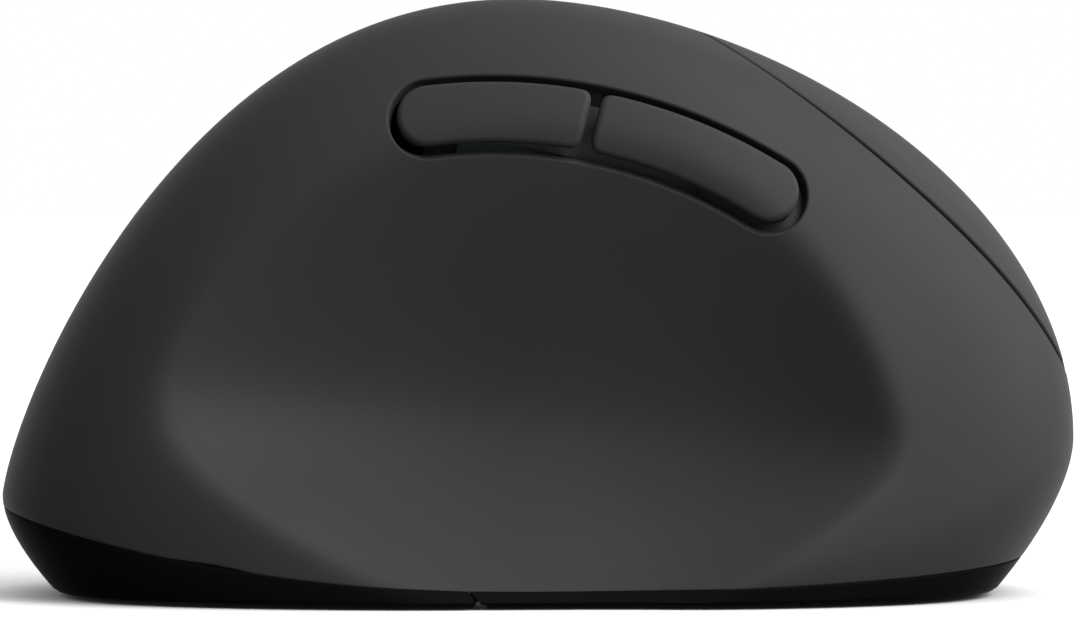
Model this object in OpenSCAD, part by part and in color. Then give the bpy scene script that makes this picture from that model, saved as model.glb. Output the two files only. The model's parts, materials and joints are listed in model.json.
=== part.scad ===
/* [Body] */
// overall length, front to back
body_length = 120; // [110:1:132]
// overall width, thumb edge to little-finger edge
body_width = 78; // [74:0.5:86]
// overall height above the desk
body_height = 66.6; // [63:0.2:74]
// thickness of the moulded shells
wall = 2.2; // [1.8:0.1:2.6]
// thickness of the glide feet
foot_h = 0.6; // [0.4:0.1:1]
// clear line between neighbouring shells
seam_gap = 0.5; // [0.4:0.05:0.7]

/* [Keys] */
// slope of the finger side from the desk's vertical
key_tilt = 48; // [46:0.5:50]
// half width of the strip that holds the wheel
strip_half = 5.5; // [5:0.1:6]
// how far a side button stands proud of the shell
side_raise = 0.5; // [0.2:0.1:1]

/* [Wheel] */
// outer radius of the tyre
wheel_r = 11.5; // [10.5:0.1:12]
// width of the tyre
wheel_w = 6.5; // [5:0.1:7]
// number of ribs round the tyre
wheel_ribs = 28; // [12:1:40]
// radius of the axle
axle_r = 1.5; // [1:0.1:2]

/* [Power] */
// radius of one cell
cell_r = 5.25; // [5:0.05:5.3]
// length of one cell
cell_l = 44.5; // [44:0.1:45]

/* [Hidden] */
$fn = 48;

half_l = body_length / 2;
half_w = body_width / 2;
// grid of the moulded form
turns = 72;
rows = 20;
// middle line of the body, its crest, and how far the ends lean to the thumb side
crest_x = -half_l / 30;
mid_y = -0.0167 * half_w;
crest_y = mid_y - 0.385 * half_w;
tip_y = mid_y - 0.18 * half_w;
// waist heights: front, finger side, rear, thumb side
waist = [17.8, 8, 11.3, 2.7];
// rounding powers of the crest curve, across and up, in the same order
pow_a = [1.753, 1.45, 2.146, 1.75];
pow_u = [1.942, 1.45, 1.316, 1.75];
// plan rounding: thumb front, finger front, finger rear, thumb rear
pow_p = [1.9, 2.3, 2.2, 2.1];
// tuck below the waist: first and second order, and its rounding
tuck_a = [0.26, 0.3, 0.42, 0.2];
tuck_b = [0.0179, 0.02, 0.025, 0.02];
tuck_r = 4;
// height of the line between shell and base
part_z = [4.6, 5, 10.2, 2.1];
part_gap = 0.15;
// top band beside the crest
band_k = 0.33;
band_r = 3;
band_drop = 12;
// thumb hollow: depth, bend height and its slope, slopes below and above, bend rounding
hollow_y = mid_y - 0.487 * half_w;
hollow_z = 17.5;
hollow_lean = 0.09;
ledge_k = 1.16;
over_k = 0.33;
bend_r = 7;
// thumb hollow ends: rise, reach to the front and rear, sharpness
end_rise = 11;
end_x = [0.692 * half_l, 0.75 * half_l];
end_p = [3, 2.2];

function ease(t) = let(u = max(0, min(1, t))) u * u * (3 - 2 * u);
function soft_max(a, b, r) = (a + b + sqrt((a - b) * (a - b) + r * r)) / 2;
function soft_step(t, r) = (t + sqrt(t * t + r * r)) / 2;
function four(q, c, s) = c * c * (c > 0 ? q[0] : q[2]) + s * s * (s > 0 ? q[1] : q[3]);
function pole(v, e) = v <= 0 ? 0 : pow(v, e);
function reach(x) = x > crest_x ? half_l - crest_x : half_l + crest_x;
function end_i(x) = x > crest_x ? 0 : 2;
function crest_z(x) = let(i = end_i(x), u = min(1, abs(x - crest_x) / reach(x)))
    waist[i] + (body_height - waist[i]) * pole(1 - pole(u, pow_a[i]), 1 / pow_u[i]);
function end_gap(x, z) = let(i = end_i(x), w = max(0, min(1, (z - waist[i]) / (body_height - waist[i]))))
    reach(x) * pole(1 - pole(w, pow_u[i]), 1 / pow_a[i]) - abs(x - crest_x);
tiny = 0.0001;
function inward(x, z) = let(v = max(tiny, crest_z(x) - z), h = max(tiny, end_gap(x, z))) v * h / norm([v, h]);
function crest_line(x) = crest_y + (tip_y - crest_y) * abs(x - crest_x) / reach(x);
function band_y(x, z) = let(d = inward(x, z)) crest_line(x) - sqrt(d * d / band_k / band_k + 2 * band_r * d)
    - band_r / 5 - band_drop * ease((46 - z) / 28) * ease(x / 20) - band_drop * ease((-8 - x) / 30);
function hollow(x, z) = let(b = hollow_z - hollow_lean * x, i = x > -1 ? 0 : 1,
    e = end_rise * pow(abs(x + 1) / end_x[i] / (0.72 + 0.28 * ease(z / 20)), end_p[i]))
    hollow_y - ledge_k * soft_step(b - z, bend_r) - over_k * soft_step(z - b, bend_r) - e
    + (ledge_k + over_k) * bend_r / 4;
function waist_z(c, s) = let(k = pow(abs(c), 2.6)) k * (c > 0 ? waist[0] : waist[2])
    + (1 - k) * (s > 0 ? waist[1] : waist[3]);
function plan_p(c, s) = s < 0 ? (c > 0 ? pow_p[0] : pow_p[3]) : (c > 0 ? pow_p[1] : pow_p[2]);
function plan_at(c, s) = let(e = 2 / plan_p(c, s)) [half_l * sign(c) * pole(abs(c), e),
    half_w * sign(s) * pole(abs(s), e) + mid_y + (tip_y - mid_y) * c * c];
function carve(p) = [p[0], soft_max(soft_max(p[1], band_y(p[0], p[2]), 1.2), hollow(p[0], p[2]), 2), p[2]];
// a point of the outer form: turn round the body, and height from -1 (foot) over 0 (waist) to 1 (crest)
function skin(a, v) = let(c = cos(a), s = sin(a), e = plan_at(c, s), w = waist_z(c, s),
    f = 90 * max(0, min(1, v)), ca = pole(cos(f), 2 / four(pow_a, c, s)),
    su = pole(sin(f), 2 / four(pow_u, c, s)),
    d = (w - foot_h) * max(0, -v), t = four(tuck_a, c, s) * (sqrt(d * d + tuck_r * tuck_r) - tuck_r)
    + four(tuck_b, c, s) * d * d, k = 1 - t / norm(e))
    carve(v >= 0 ? [crest_x + (e[0] - crest_x) * ca, crest_y + (e[1] - crest_y) * ca,
    w + (body_height - w) * su] : [e[0] * k, e[1] * k, w - d]);
function skin_n(a, v) = v > 0.97 ? [0, 0, 1] : let(n = cross(skin(a + 3, v) - skin(a - 3, v),
    skin(a, v + 0.02) - skin(a, v - 0.02))) n / norm(n);
function flat_n(n) = let(h = [n[0], n[1], 0]) h / norm(h);
function split_z(c, s) = c * c * (c > 0 ? part_z[0] : part_z[2]) + s * s * (s > 0 ? part_z[1] : part_z[3]);
function split_v(a, drop) = let(w = waist_z(cos(a), sin(a)))
    -(w - split_z(cos(a), sin(a)) + drop) / (w - foot_h);
function turn_at(i) = 360 * i / turns;
function row_at(j) = 1 - pow(1 - j / rows, 1.15);
function row_v(a, j) = let(v0 = split_v(a, 0)) v0 + (1 - v0) * row_at(j);
function grid_pt(i, j) = let(a = turn_at(i)) skin(a, row_v(a, j));
// true where the diagonal from the next turn to the next row lies nearer the smooth form
function bends(i, j) = let(c = 2 * grid_pt(i + 0.5, j + 0.5))
    norm(grid_pt(i + 1, j) + grid_pt(i, j + 1) - c) <= norm(grid_pt(i, j) + grid_pt(i + 1, j + 1) - c);

// strips between rings of points, and fans to the end points
function strips(m, n, base) = [for (j = [0:m - 2], i = [0:n - 1], k = [0, 1]) let(a = base + j * n + i,
    b = base + j * n + (i + 1) % n) k == 0 ? [a, a + n, b] : [b, a + n, b + n]];
function pair(a, b, n, d) = d ? [[a, a + n, b], [b, a + n, b + n]] : [[a, a + n, b + n], [a, b + n, b]];
function fan(first, n, tip, up) = [for (i = [0:n - 1]) up ? [first + i, tip, first + (i + 1) % n]
    : [first + (i + 1) % n, tip, first + i]];

// floor of the lower tray, and how far the wall's inner face stays above it
floor_z = 2.6;
floor_room = 0.25;
inner_low = floor_z + floor_room;
// the whole moulded form as one closed wall, open below at the parting line
module form_wall() {
    outer = [for (j = [0:rows - 1], i = [0:turns - 1]) grid_pt(i, j)];
    inner = [for (j = [rows - 1:-1:0], i = [0:turns - 1]) let(a = turn_at(i), n = skin_n(a, row_v(a, j)),
        p = grid_pt(i, j) - wall * (j == 0 ? flat_n(n) : n))
        [p[0], p[1], j == 0 ? p[2] : max(p[2], inner_low)]];
    ring = rows * turns;
    tips = [skin(0, 1), skin(0, 1) - [0, 0, wall]];
    out_faces = [for (j = [0:rows - 2], i = [0:turns - 1]) each pair(j * turns + i,
        j * turns + (i + 1) % turns, turns, bends(i, j))];
    in_faces = [for (j = [0:rows - 2], i = [0:turns - 1]) each pair(ring + j * turns + i,
        ring + j * turns + (i + 1) % turns, turns, !bends(i, rows - 2 - j))];
    edge_faces = [for (i = [0:turns - 1]) let(k = (i + 1) % turns, n = 2 * ring - turns)
        each [[i, k, n + i], [k, n + k, n + i]]];
    polyhedron(points = concat(outer, inner, tips), faces = concat(out_faces, in_faces, edge_faces,
        fan(ring - turns, turns, 2 * ring, true), fan(ring, turns, 2 * ring + 1, false)));
}

// the lower tray: tucked sides up to the parting line, and a floor
cover_floor_z = 1.9;
lip_in = wall + 0.3;
module base_form(top_z) {
    steps = 4;
    side = [for (j = [0:steps], i = [0:turns - 1]) let(a = turn_at(i), v1 = split_v(a, part_gap))
        skin(a, -1 + (1 + v1) * j / steps)];
    rim = [for (i = [0:turns - 1]) let(a = turn_at(i), v1 = split_v(a, part_gap))
        skin(a, v1) - lip_in * flat_n(skin_n(a, v1))];
    low = [for (i = [0:turns - 1]) let(a = turn_at(i), w = waist_z(cos(a), sin(a)),
        v2 = -(w - top_z) / (w - foot_h), p = skin(a, v2) - lip_in * flat_n(skin_n(a, v2)))
        [p[0], p[1], top_z]];
    polyhedron(points = concat(side, rim, low, [[0, 0, foot_h], [0, 0, top_z]]),
        faces = concat(strips(steps + 3, turns, 0), fan(0, turns, (steps + 3) * turns, false),
        fan((steps + 2) * turns, turns, (steps + 3) * turns + 1, true)));
}

// finger-side frame: x forward, y down the slope, z outward
module incline() translate([0, mid_y, 0]) rotate([-key_tilt, 0, 0]) children();
strip_turn = 7.86;
// a point of the finger side from its shares of half width and height: down the slope, and outward
function slope_at(fy, fz) = [fy * half_w * cos(key_tilt) - fz * body_height * sin(key_tilt),
    fy * half_w * sin(key_tilt) + fz * body_height * cos(key_tilt)];
wheel_x = 0.6 * half_l;
wheel_at = slope_at(0.234223, 0.527591);
wheel_y = wheel_at[0];
wheel_z = wheel_at[1];
// frame of the wheel strip, with its origin under the wheel
module on_strip(s = 0) incline() translate([wheel_x, wheel_y, 0]) rotate([0, 0, strip_turn])
    translate([s, 0, 0]) children();

// lower ends of the shell's openings, and the room under a key's front edge
key_floor = 10;
key_drop = 0.65;
strip_floor = 13.5;
key_top = 60;
far = 200;
// thumb-side seam of the index key, as the crest curve drawn in
seam_f = [7.7, 69.2];
seam_in = 4.1;
seam_steps = 24;
function seam_at(t, cut) = let(f = seam_f[0] + (seam_f[1] - seam_f[0]) * t, d = seam_in * sin(180 * t) - cut)
    [crest_x + (half_l - crest_x - d) * pole(cos(f), 2 / pow_a[0]),
    waist[0] + (body_height - waist[0] - d) * pole(sin(f), 2 / pow_u[0])];
module seam_2d(cut) polygon(concat([for (i = [0:seam_steps]) seam_at(i / seam_steps, cut)],
    [[seam_at(1, 0)[0] + cut, far], [far, far], [far, seam_at(0, 0)[1] + cut]]));
// distance down the finger-side slope
function down_slope(y, z) = (y - mid_y) * cos(key_tilt) - z * sin(key_tilt);
// rear edge of the index key: a quarter ellipse from the strip up to the crest
leaf_y = wheel_y - 4;
leaf_top = seam_at(1, 0);
leaf_rx = 14;
leaf_ry = leaf_y - down_slope(crest_line(leaf_top[0]), leaf_top[1]);
// edge of the middle key: centre and half axes
middle_at = [0.45 * half_l, wheel_y + 8];
middle_rx = 29;
middle_ry = 17;
strip_back = 36;
// the half of the strip frame on the index side (-1) or middle side (1)
module strip_half_plane(side, from) translate([wheel_x, wheel_y]) rotate(strip_turn)
    translate([-far, side > 0 ? from : -from - far]) square([2 * far, far]);
module index_2d(cut, from) intersection() {
    union() {
        translate([leaf_top[0], leaf_y]) scale([(leaf_rx - cut) / (leaf_ry - cut), 1])
            circle(leaf_ry - cut, $fn = 96);
        translate([leaf_top[0] + cut, -far / 2]) square([far, far]);
    }
    strip_half_plane(-1, from);
}
module middle_2d(cut, from) intersection() {
    translate(middle_at) scale([(middle_rx - cut) / (middle_ry - cut), 1]) circle(middle_ry - cut, $fn = 72);
    strip_half_plane(1, from);
}
module strip_2d(half) translate([wheel_x, wheel_y]) rotate(strip_turn) {
    translate([-strip_back, 0]) circle(half);
    translate([-strip_back, -half]) square([strip_back + half_l, 2 * half]);
}
module key_prism(low = key_floor) incline() translate([0, 0, low]) linear_extrude(key_top - low) children();
// what lies on the finger side (1) or thumb side (-1) of the upright plane through the front crest
crest_turn = atan2(tip_y - crest_y, half_l - crest_x);
crest_lap = 0.1;
module crest_side(side, cut) translate([crest_x, crest_y, 0]) rotate(crest_turn)
    translate([-far / 2, side > 0 ? cut - crest_lap : cut - far, -1]) cube(far);
module index_zone(cut, from, lift = 0) {
    intersection() {
        key_prism(key_floor + lift) index_2d(cut, from);
        crest_side(1, cut);
    }
    intersection() {
        translate([0, half_w, 0]) rotate([90, 0, 0]) linear_extrude(body_width) seam_2d(cut);
        crest_side(-1, cut);
    }
}

// side buttons lie on an arc about this point of the thumb side
arc_x = -0.085 * half_l;
arc_z = -0.0526 * body_height;
arc_r = 0.8589 * body_height;
arc_from = -7;
arc_split = 10.9;
arc_to = 32;
slot_half = 4.2;
module on_side() translate([arc_x, mid_y, arc_z]) rotate([90, 0, 0]) children();
function arc_pt(a, r) = [r * sin(a), r * cos(a)];
// a band along the arc with rounded or square ends
band_steps = 24;
function arc_end(a, r, half, start) = [for (t = [15:15:165]) arc_pt(a, r) + arc_pt(start + t, half)];
module arc_band(a0, a1, r, half, round0, round1) polygon(concat(
    [for (i = [0:band_steps]) arc_pt(a0 + (a1 - a0) * i / band_steps, r + half)],
    round1 ? arc_end(a1, r, half, a1) : [],
    [for (i = [band_steps:-1:0]) arc_pt(a0 + (a1 - a0) * i / band_steps, r - half)],
    round0 ? arc_end(a0, r, half, a0 + 180) : []));

// screw posts of the shell: turn round the body, distance in from the skin, height; one more under the ledge
post_r = 3;
pilot_r = 0.95;
pilot_cap = 2;
post_room = 0.1;
web_t = 2;
web_lift = 1.2;
web_drop = 0.3;
ring_posts = [[0, 7.2, 16], [58, 7, 12], [91.5, 7, 12]];
ledge_post = [-0.035 * half_l, -0.6154 * half_w, 9.6];
function edge_at(a) = skin(a, split_v(a, 0));
function edge_n(a) = flat_n(skin_n(a, split_v(a, 0)));
function post_at(q) = let(p = edge_at(q[0]) - q[1] * edge_n(q[0])) [p[0], p[1], q[2]];
posts = concat([for (q = ring_posts) post_at(q)], [ledge_post]);
// upright web from a post into the wall, between the parting line and the waist
module post_web(q) {
    c = post_at(q);
    n = edge_n(q[0]);
    w = waist_z(cos(q[0]), sin(q[0]));
    side = web_t / 2 * [-n[1], n[0], 0];
    low = edge_at(q[0])[2] + web_lift;
    high = min(q[2], w - web_drop);
    reach_at = [for (z = [low, high]) n * (skin(q[0], -(w - z) / (w - foot_h)) - [c[0], c[1], z]) - wall / 2];
    base = [[c[0], c[1], low], [c[0], c[1], high]];
    flat = [base[0], base[1], base[1] + reach_at[1] * n, base[0] + reach_at[0] * n];
    polyhedron(points = [for (k = [-1, 1], p = flat) p + k * side], faces = [[0, 1, 2, 3], [7, 6, 5, 4],
        [1, 0, 4, 5], [2, 1, 5, 6], [3, 2, 6, 7], [0, 3, 7, 4]]);
}
slot_span = [12, 45];
module upper_shell() color("DimGray") difference() {
    union() {
        difference() {
            form_wall();
            index_zone(0, strip_half - 1);
            key_prism(strip_floor) strip_2d(strip_half + seam_gap);
            key_prism() middle_2d(0, strip_half - 1);
            on_side() translate([0, 0, slot_span[0]]) linear_extrude(slot_span[1] - slot_span[0])
                arc_band(arc_from, arc_to, arc_r, slot_half, true, true);
        }
        for (p = posts) translate([p[0], p[1], floor_z + post_room]) cylinder(r = post_r, h = p[2] - floor_z);
        for (q = ring_posts) post_web(q);
    }
    for (p = posts) translate([p[0], p[1], 0]) cylinder(r = pilot_r, h = p[2] - pilot_cap);
}

// main keys with a pivot barrel and a stem over the switch
rod_r = 1;
rod_fit = 0.05;
barrel_r = 2.2;
hinge_x = 0.2333 * half_l;
hinge_z = 33;
board_top = 12.2;
switch_h = 6.5;
// side and height of a small push switch
small_sw = [6, 3.5];
// plungers: height above the switch, depth and fit in its bore, room below, radius of a round one
plunger_h = 0.8;
plunger_in = 0.6;
plunger_fit = 0.05;
plunger_room = 0.9;
plunger_r = 1.75;
touch = 0.1;
stem_x = 0.6667 * half_l;
stem_z = board_top + switch_h + plunger_h + touch;
key_stem_x = 4;
key_stem_y = 3;
barrel_web = 3;
// where each key's stem and barrel meet its wall
index_stem = slope_at(0.0341, 0.705);
index_hinge = slope_at(0.1551, 0.7889);
middle_stem = slope_at(0.528, 0.4197);
middle_hinge = slope_at(0.618, 0.5225);
// half lengths of the barrels, and the lugs beyond their ends
index_barrel = 2.2;
middle_barrel = 5.25;
lug_room = 0.4;
lug_t = 1.6;
module key_barrel(at, half) incline() {
    translate([hinge_x, at[0] - half, hinge_z]) rotate([-90, 0, 0]) cylinder(r = barrel_r, h = 2 * half);
    translate([hinge_x - barrel_web / 2, at[0] - half, hinge_z])
        cube([barrel_web, 2 * half, at[1] - hinge_z]);
}
module key_bore() incline() translate([hinge_x, -far / 2, hinge_z]) rotate([-90, 0, 0])
    cylinder(r = rod_r + rod_fit, h = far);
module key_stem(at) incline() translate([stem_x - key_stem_x / 2, at[0] - key_stem_y / 2, stem_z])
    cube([key_stem_x, key_stem_y, at[1] - stem_z]);
module index_key() color("DimGray") difference() {
    union() {
        intersection() {
            form_wall();
            index_zone(seam_gap, strip_half + seam_gap / 2, key_drop);
        }
        key_barrel(index_hinge, index_barrel);
        key_stem(index_stem);
    }
    key_bore();
}
module middle_key() color("DimGray") difference() {
    union() {
        intersection() {
            form_wall();
            key_prism(key_floor + key_drop) middle_2d(seam_gap, strip_half + seam_gap / 2);
        }
        key_barrel(middle_hinge, middle_barrel);
        key_stem(middle_stem);
    }
    key_bore();
}

// fixed strip between the keys, with the wheel slot and the resolution button's hole
dpi_s = -23;
dpi_half = [4.6, 2.3];
dpi_gap = 0.3;
dpi_h = 6.8;
dpi_top = slope_at(0.4374, 0.6983)[1];
dpi_stem_r = 1.6;
leg_s = [-31, 14.4];
leg_top = [slope_at(0.3654, 0.6824)[1], slope_at(0.2242, 0.4825)[1]];
leg_r = 1.8;
plate_top = 11;
// opening for the wheel: shift along the strip, half length, gap at each side, and where the cuts begin
slot_s = 0.6;
slot_hx = 11.6;
slot_side = 0.6;
slot_low = 15;
slot_h = 40;
module slot_2d(hx, hy) hull() for (k = [-1, 1]) translate([k * (hx - hy), 0]) circle(hy);
module wheel_strip() color("Black") {
    difference() {
        intersection() {
            form_wall();
            key_prism(strip_floor + seam_gap) strip_2d(strip_half - seam_gap / 2);
        }
        on_strip(slot_s) translate([-slot_hx, -wheel_w / 2 - slot_side, slot_low])
            cube([2 * slot_hx, wheel_w + 2 * slot_side, slot_h]);
        on_strip(dpi_s) translate([0, 0, slot_low]) linear_extrude(slot_h)
            slot_2d(dpi_half[0] + dpi_gap, dpi_half[1] + dpi_gap);
    }
    for (i = [0, 1]) on_strip(leg_s[i]) translate([0, 0, plate_top])
        cylinder(r = leg_r, h = leg_top[i] - plate_top);
}
dpi_stem_z = board_top + small_sw[1] + plunger_h + touch;
module resolution_button() color("Gray") on_strip(dpi_s) {
    translate([0, 0, dpi_top - dpi_h]) linear_extrude(dpi_h) slot_2d(dpi_half[0], dpi_half[1]);
    translate([0, 0, dpi_stem_z]) cylinder(r = dpi_stem_r, h = dpi_top - dpi_h / 2 - dpi_stem_z);
}

// side button caps: a sloped face swept round the arc, with a guided stem
cap_half = 3.4;
cap_r = arc_r + 0.4;
cap_out = [0.7256 * half_w, 0.6205 * half_w];
cap_bulge = 0.25;
cap_t = 2.2;
stem_r = 2;
cap_stem = 5.6;
// inner wall of the chassis, and what stands on it
side_wall_y = 0.359 * half_w;
side_board_y = side_wall_y + 1.2;
side_stem_y = side_board_y + small_sw[1] + plunger_h + touch;
guide_y = [side_wall_y + 6.5, side_wall_y + 7.5];
back_a = 2;
forward_a = 21.2;
cap_lap = 0.2;
cap_low = 15;
cap_span = 30;
module cap(a0, a1, round0, round1, stem_a) on_side() {
    r = [cap_r - cap_half - cap_lap, cap_r, cap_r + cap_half + cap_lap];
    mid = (cap_out[0] + cap_out[1]) / 2 + cap_bulge;
    out = [cap_out[0] + side_raise, mid + side_raise, cap_out[1] + side_raise];
    intersection() {
        rotate([0, 0, 80 - arc_to]) rotate_extrude(angle = arc_to - arc_from + 20, $fn = 180)
            polygon([[r[0], out[0]], [r[1], out[1]], [r[2], out[2]], [r[2], out[2] - cap_t],
            [r[0], out[0] - cap_t]]);
        translate([0, 0, cap_low]) linear_extrude(cap_span) arc_band(a0, a1, cap_r, cap_half, round0, round1);
    }
    translate(concat(arc_pt(stem_a, cap_r), side_stem_y)) cylinder(r = stem_r, h = cap_stem);
}
cap_split = 0.5;
cap_end = 0.2;
module back_button() color("DimGray") cap(arc_from, arc_split - cap_split, true, false, back_a);
module forward_button() color("DimGray") cap(arc_split + cap_split, arc_to - cap_end, false, true, forward_a);

// height and thickness of the main board
board_z = 4.6;
board_t = 1.2;
// lower tray split into a fixed plate and a battery cover
split_x = -0.11 * half_l;
screw_head = [2.1, 1.2];
standoffs = [[-2, -18], [23.5, -18.2], [-2, -5], [35, -5]];
standoff_r = 2;
sink = 0.5;
window = [18, -11];
slide_at = [31, -14];
slide_len = 9.2;
slide_wid = 4.6;
pocket = [14, 22.8];
chassis_feet = [[8, 8.5], [42, 8.5]];
rcv_plug = [12, 12, 4.5];
rcv_cap = [6.5, 14.5, 6.5];
rcv_fit = 0.25;
rcv_low = 0.9;
// ends of the plug and of its cap along the receiver
rcv_plug_x = -9;
rcv_cap_x = 2.5;
// block round the receiver's pocket
pocket_box = [22, 17.6, 6.9];
module grown(size, f) cube([size[0] + 2 * f, size[1] + 2 * f, size[2] + 2 * f]);
module receiver_form(f) {
    translate([rcv_plug_x - f, -rcv_plug[1] / 2 - f, 1 - f]) grown(rcv_plug, f);
    translate([rcv_cap_x - f, -rcv_cap[1] / 2 - f, -f]) grown(rcv_cap, f);
}
// way out of the pocket through the floor
module receiver_door(f) translate([pocket[0], pocket[1], 0]) linear_extrude(floor_z) {
    translate([rcv_plug_x - f, -rcv_plug[1] / 2 - f]) square([rcv_plug[0] + 2 * f, rcv_plug[1] + 2 * f]);
    translate([rcv_cap_x - f, -rcv_cap[1] / 2 - f]) square([rcv_cap[0] + 2 * f, rcv_cap[1] + 2 * f]);
}
head_fit = 0.1;
shank_hole = 1.15;
cut_h = 4;
module screw_hole() {
    cylinder(r = screw_head[0] + head_fit, h = foot_h + screw_head[1] + head_fit);
    cylinder(r = shank_hole, h = cut_h);
}
window_size = [9, 7];
module floor_cut(at, size) translate([at[0] - size[0] / 2, at[1] - size[1] / 2, 0])
    cube([size[0], size[1], cut_h]);
module base_plate() color("DarkSlateGray") difference() {
    union() {
        intersection() {
            base_form(floor_z);
            translate([split_x + seam_gap / 2, -far / 2, -1]) cube(far);
        }
        for (p = standoffs) translate([p[0], p[1], floor_z - sink])
            cylinder(r = standoff_r, h = board_z - floor_z + sink);
        translate([pocket[0] - pocket_box[0] / 2, pocket[1] - pocket_box[1] / 2, floor_z - sink])
            cube(pocket_box);
    }
    for (p = posts) translate([p[0], p[1], 0]) screw_hole();
    for (p = chassis_feet) translate([p[0], p[1], 0]) screw_hole();
    floor_cut(window, window_size);
    floor_cut(slide_at, [slide_len, slide_wid]);
    translate([pocket[0], pocket[1], rcv_low]) receiver_form(rcv_fit);
    receiver_door(rcv_fit);
}
module battery_cover() color("DarkSlateGray") intersection() {
    base_form(cover_floor_z);
    translate([split_x - seam_gap / 2 - far, -far / 2, -1]) cube(far);
}
module usb_receiver() color("Black") translate([pocket[0], pocket[1], rcv_low]) receiver_form(0);
// half axes of the long feet and of the one under the ledge
long_pad = [14, 3.2];
short_pad = [4, 2.5];
module foot_pad(half) linear_extrude(foot_h) slot_2d(half[0], half[1]);
module front_feet() color("White") {
    translate([0.66 * half_l, 0, 0]) rotate(90) foot_pad(long_pad);
    translate([0, -0.6 * half_w, 0]) foot_pad(short_pad);
}
module rear_feet() color("White") translate([-0.7 * half_l, 0, 0]) rotate(90) foot_pad(long_pad);
screw_fit = 0.05;
module screw(len) {
    cylinder(r = screw_head[0], h = screw_head[1]);
    cylinder(r = pilot_r - screw_fit, h = len);
}
base_screw = 6;
module base_screws() color("Silver") for (p = posts) translate([p[0], p[1], foot_h + screw_fit])
    screw(base_screw);
// slider: place in its slot, gap round it, grooves across it
slider_x = -4.5;
slider_len = 6;
slider_gap = 0.2;
slider_top = 0.05;
grooves = [1.2, 2.6, 4];
groove = [0.8, 0.4];
slider_at = [slide_at[0] + slider_x, slide_at[1] - slide_wid / 2 + slider_gap, foot_h + slider_gap];
module power_slider() color("Gray") translate(slider_at) difference() {
    cube([slider_len, slide_wid - 2 * slider_gap, floor_z - foot_h - slider_gap + slider_top]);
    for (x = grooves) translate([x, -1, -1]) cube([groove[0], slide_wid + 2, 1 + groove[1]]);
}

// boards and what stands on them, above the base plate
main_at = [-5, -20.4];
main_size = [42.6, 18.4, board_t];
lens_hole = 6;
module main_board() color("ForestGreen") difference() {
    translate([main_at[0], main_at[1], board_z]) cube(main_size);
    translate([window[0] - lens_hole / 2, window[1] - lens_hole / 2, 0])
        cube([lens_hole, lens_hole, 2 * board_z]);
}
lens_low = [8.4, 6.4, 1.6];
lens_lift = 0.6;
lens_r = 2;
lens_gap = 0.05;
chip_size = [12, 10, 3];
module sensor_lens() color("LightCyan") {
    translate([window[0] - lens_low[0] / 2, window[1] - lens_low[1] / 2, foot_h + lens_lift])
        cube(lens_low);
    translate([window[0] - chip_size[0] / 2, window[1] - chip_size[1] / 2, floor_z + lens_gap])
        cube([chip_size[0], chip_size[1], board_z - floor_z - 2 * lens_gap]);
    translate([window[0], window[1], board_z - 2 * lens_gap]) cylinder(r = lens_r, h = board_t);
}
module sensor_chip() color("Black")
    translate([window[0] - chip_size[0] / 2, window[1] - chip_size[1] / 2, board_z + board_t])
    cube(chip_size);
lamp_x = 10;
lamp_r = [1.9, 1.5];
lamp_h = [1, 4];
module sensor_lamp() color("Red") translate([window[0] + lamp_x, window[1], board_z + board_t])
    for (i = [0, 1]) cylinder(r = lamp_r[i], h = lamp_h[i]);
power_size = [10, 6];
power_gap = 0.1;
module power_switch() color("Silver")
    translate([slide_at[0] - power_size[0] / 2, slide_at[1] - power_size[1] / 2, floor_z + power_gap])
    cube([power_size[0], power_size[1], board_z - floor_z - power_gap]);

// battery holder over the cover, fixed to the base plate by a tab; its rear finger corner is cut off
cell_x = [-14.8, -26.2];
cell_y = -19;
cell_lift = 0.3;
cell_z = cover_floor_z + cell_lift + cell_r;
nub = [1.9, 1];
holder_t = 1;
holder_low = 2.3;
// room for the springs and for the plates at the cells' ends
spring_room = 1.6;
plate_room = 1.2;
holder_x = [-33, -8];
holder_y = [cell_y - spring_room - holder_t, cell_y + cell_l + plate_room + holder_t];
holder_top = cell_z + cell_r + cell_lift;
corner = [3.4, 2.6];
tab_at = [-3.2, 6];
tab = [10, 10, 2.4];
tab_lap = 1;
tab_gap = 0.05;
module holder_2d() polygon([[holder_x[0], holder_y[0]], [holder_x[1], holder_y[0]],
    [holder_x[1], holder_y[1]], [holder_x[0] + corner[0], holder_y[1]],
    [holder_x[0], holder_y[1] - corner[1]]]);
module battery_holder() color("DimGray") difference() {
    union() {
        translate([0, 0, holder_low]) linear_extrude(holder_top + holder_t - holder_low) holder_2d();
        translate([holder_x[1] - tab_lap, tab_at[1] - tab[1] / 2, floor_z + tab_gap]) cube(tab);
    }
    linear_extrude(holder_top) offset(delta = -holder_t) holder_2d();
    translate([tab_at[0], tab_at[1], 0]) cylinder(r = shank_hole, h = holder_top);
}
holder_screw = [2, 1.05, 3];
module holder_screws() color("Silver") translate([tab_at[0], tab_at[1], floor_z + tab_gap]) {
    translate([0, 0, tab[2] + tab_gap / 2]) cylinder(r = holder_screw[0], h = screw_head[1]);
    cylinder(r = holder_screw[1], h = holder_screw[2]);
}
module battery_cells() color("SteelBlue") for (i = [0, 1]) translate([cell_x[i], cell_y, cell_z]) {
    rotate([-90, 0, 0]) cylinder(r = cell_r, h = cell_l - nub[1]);
    translate([0, i == 0 ? cell_l - nub[1] : -nub[1], 0]) rotate([-90, 0, 0])
        cylinder(r = nub[0], h = nub[1]);
}
contact_t = 0.4;
contact_half = 3;
contact_h = 8;
coil = [3, 2];
coil_t = (spring_room - contact_t) / 2;
module contact(x, y, t) translate([x - contact_half, y, cell_z - contact_half])
    cube([2 * contact_half, t, contact_h]);
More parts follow.
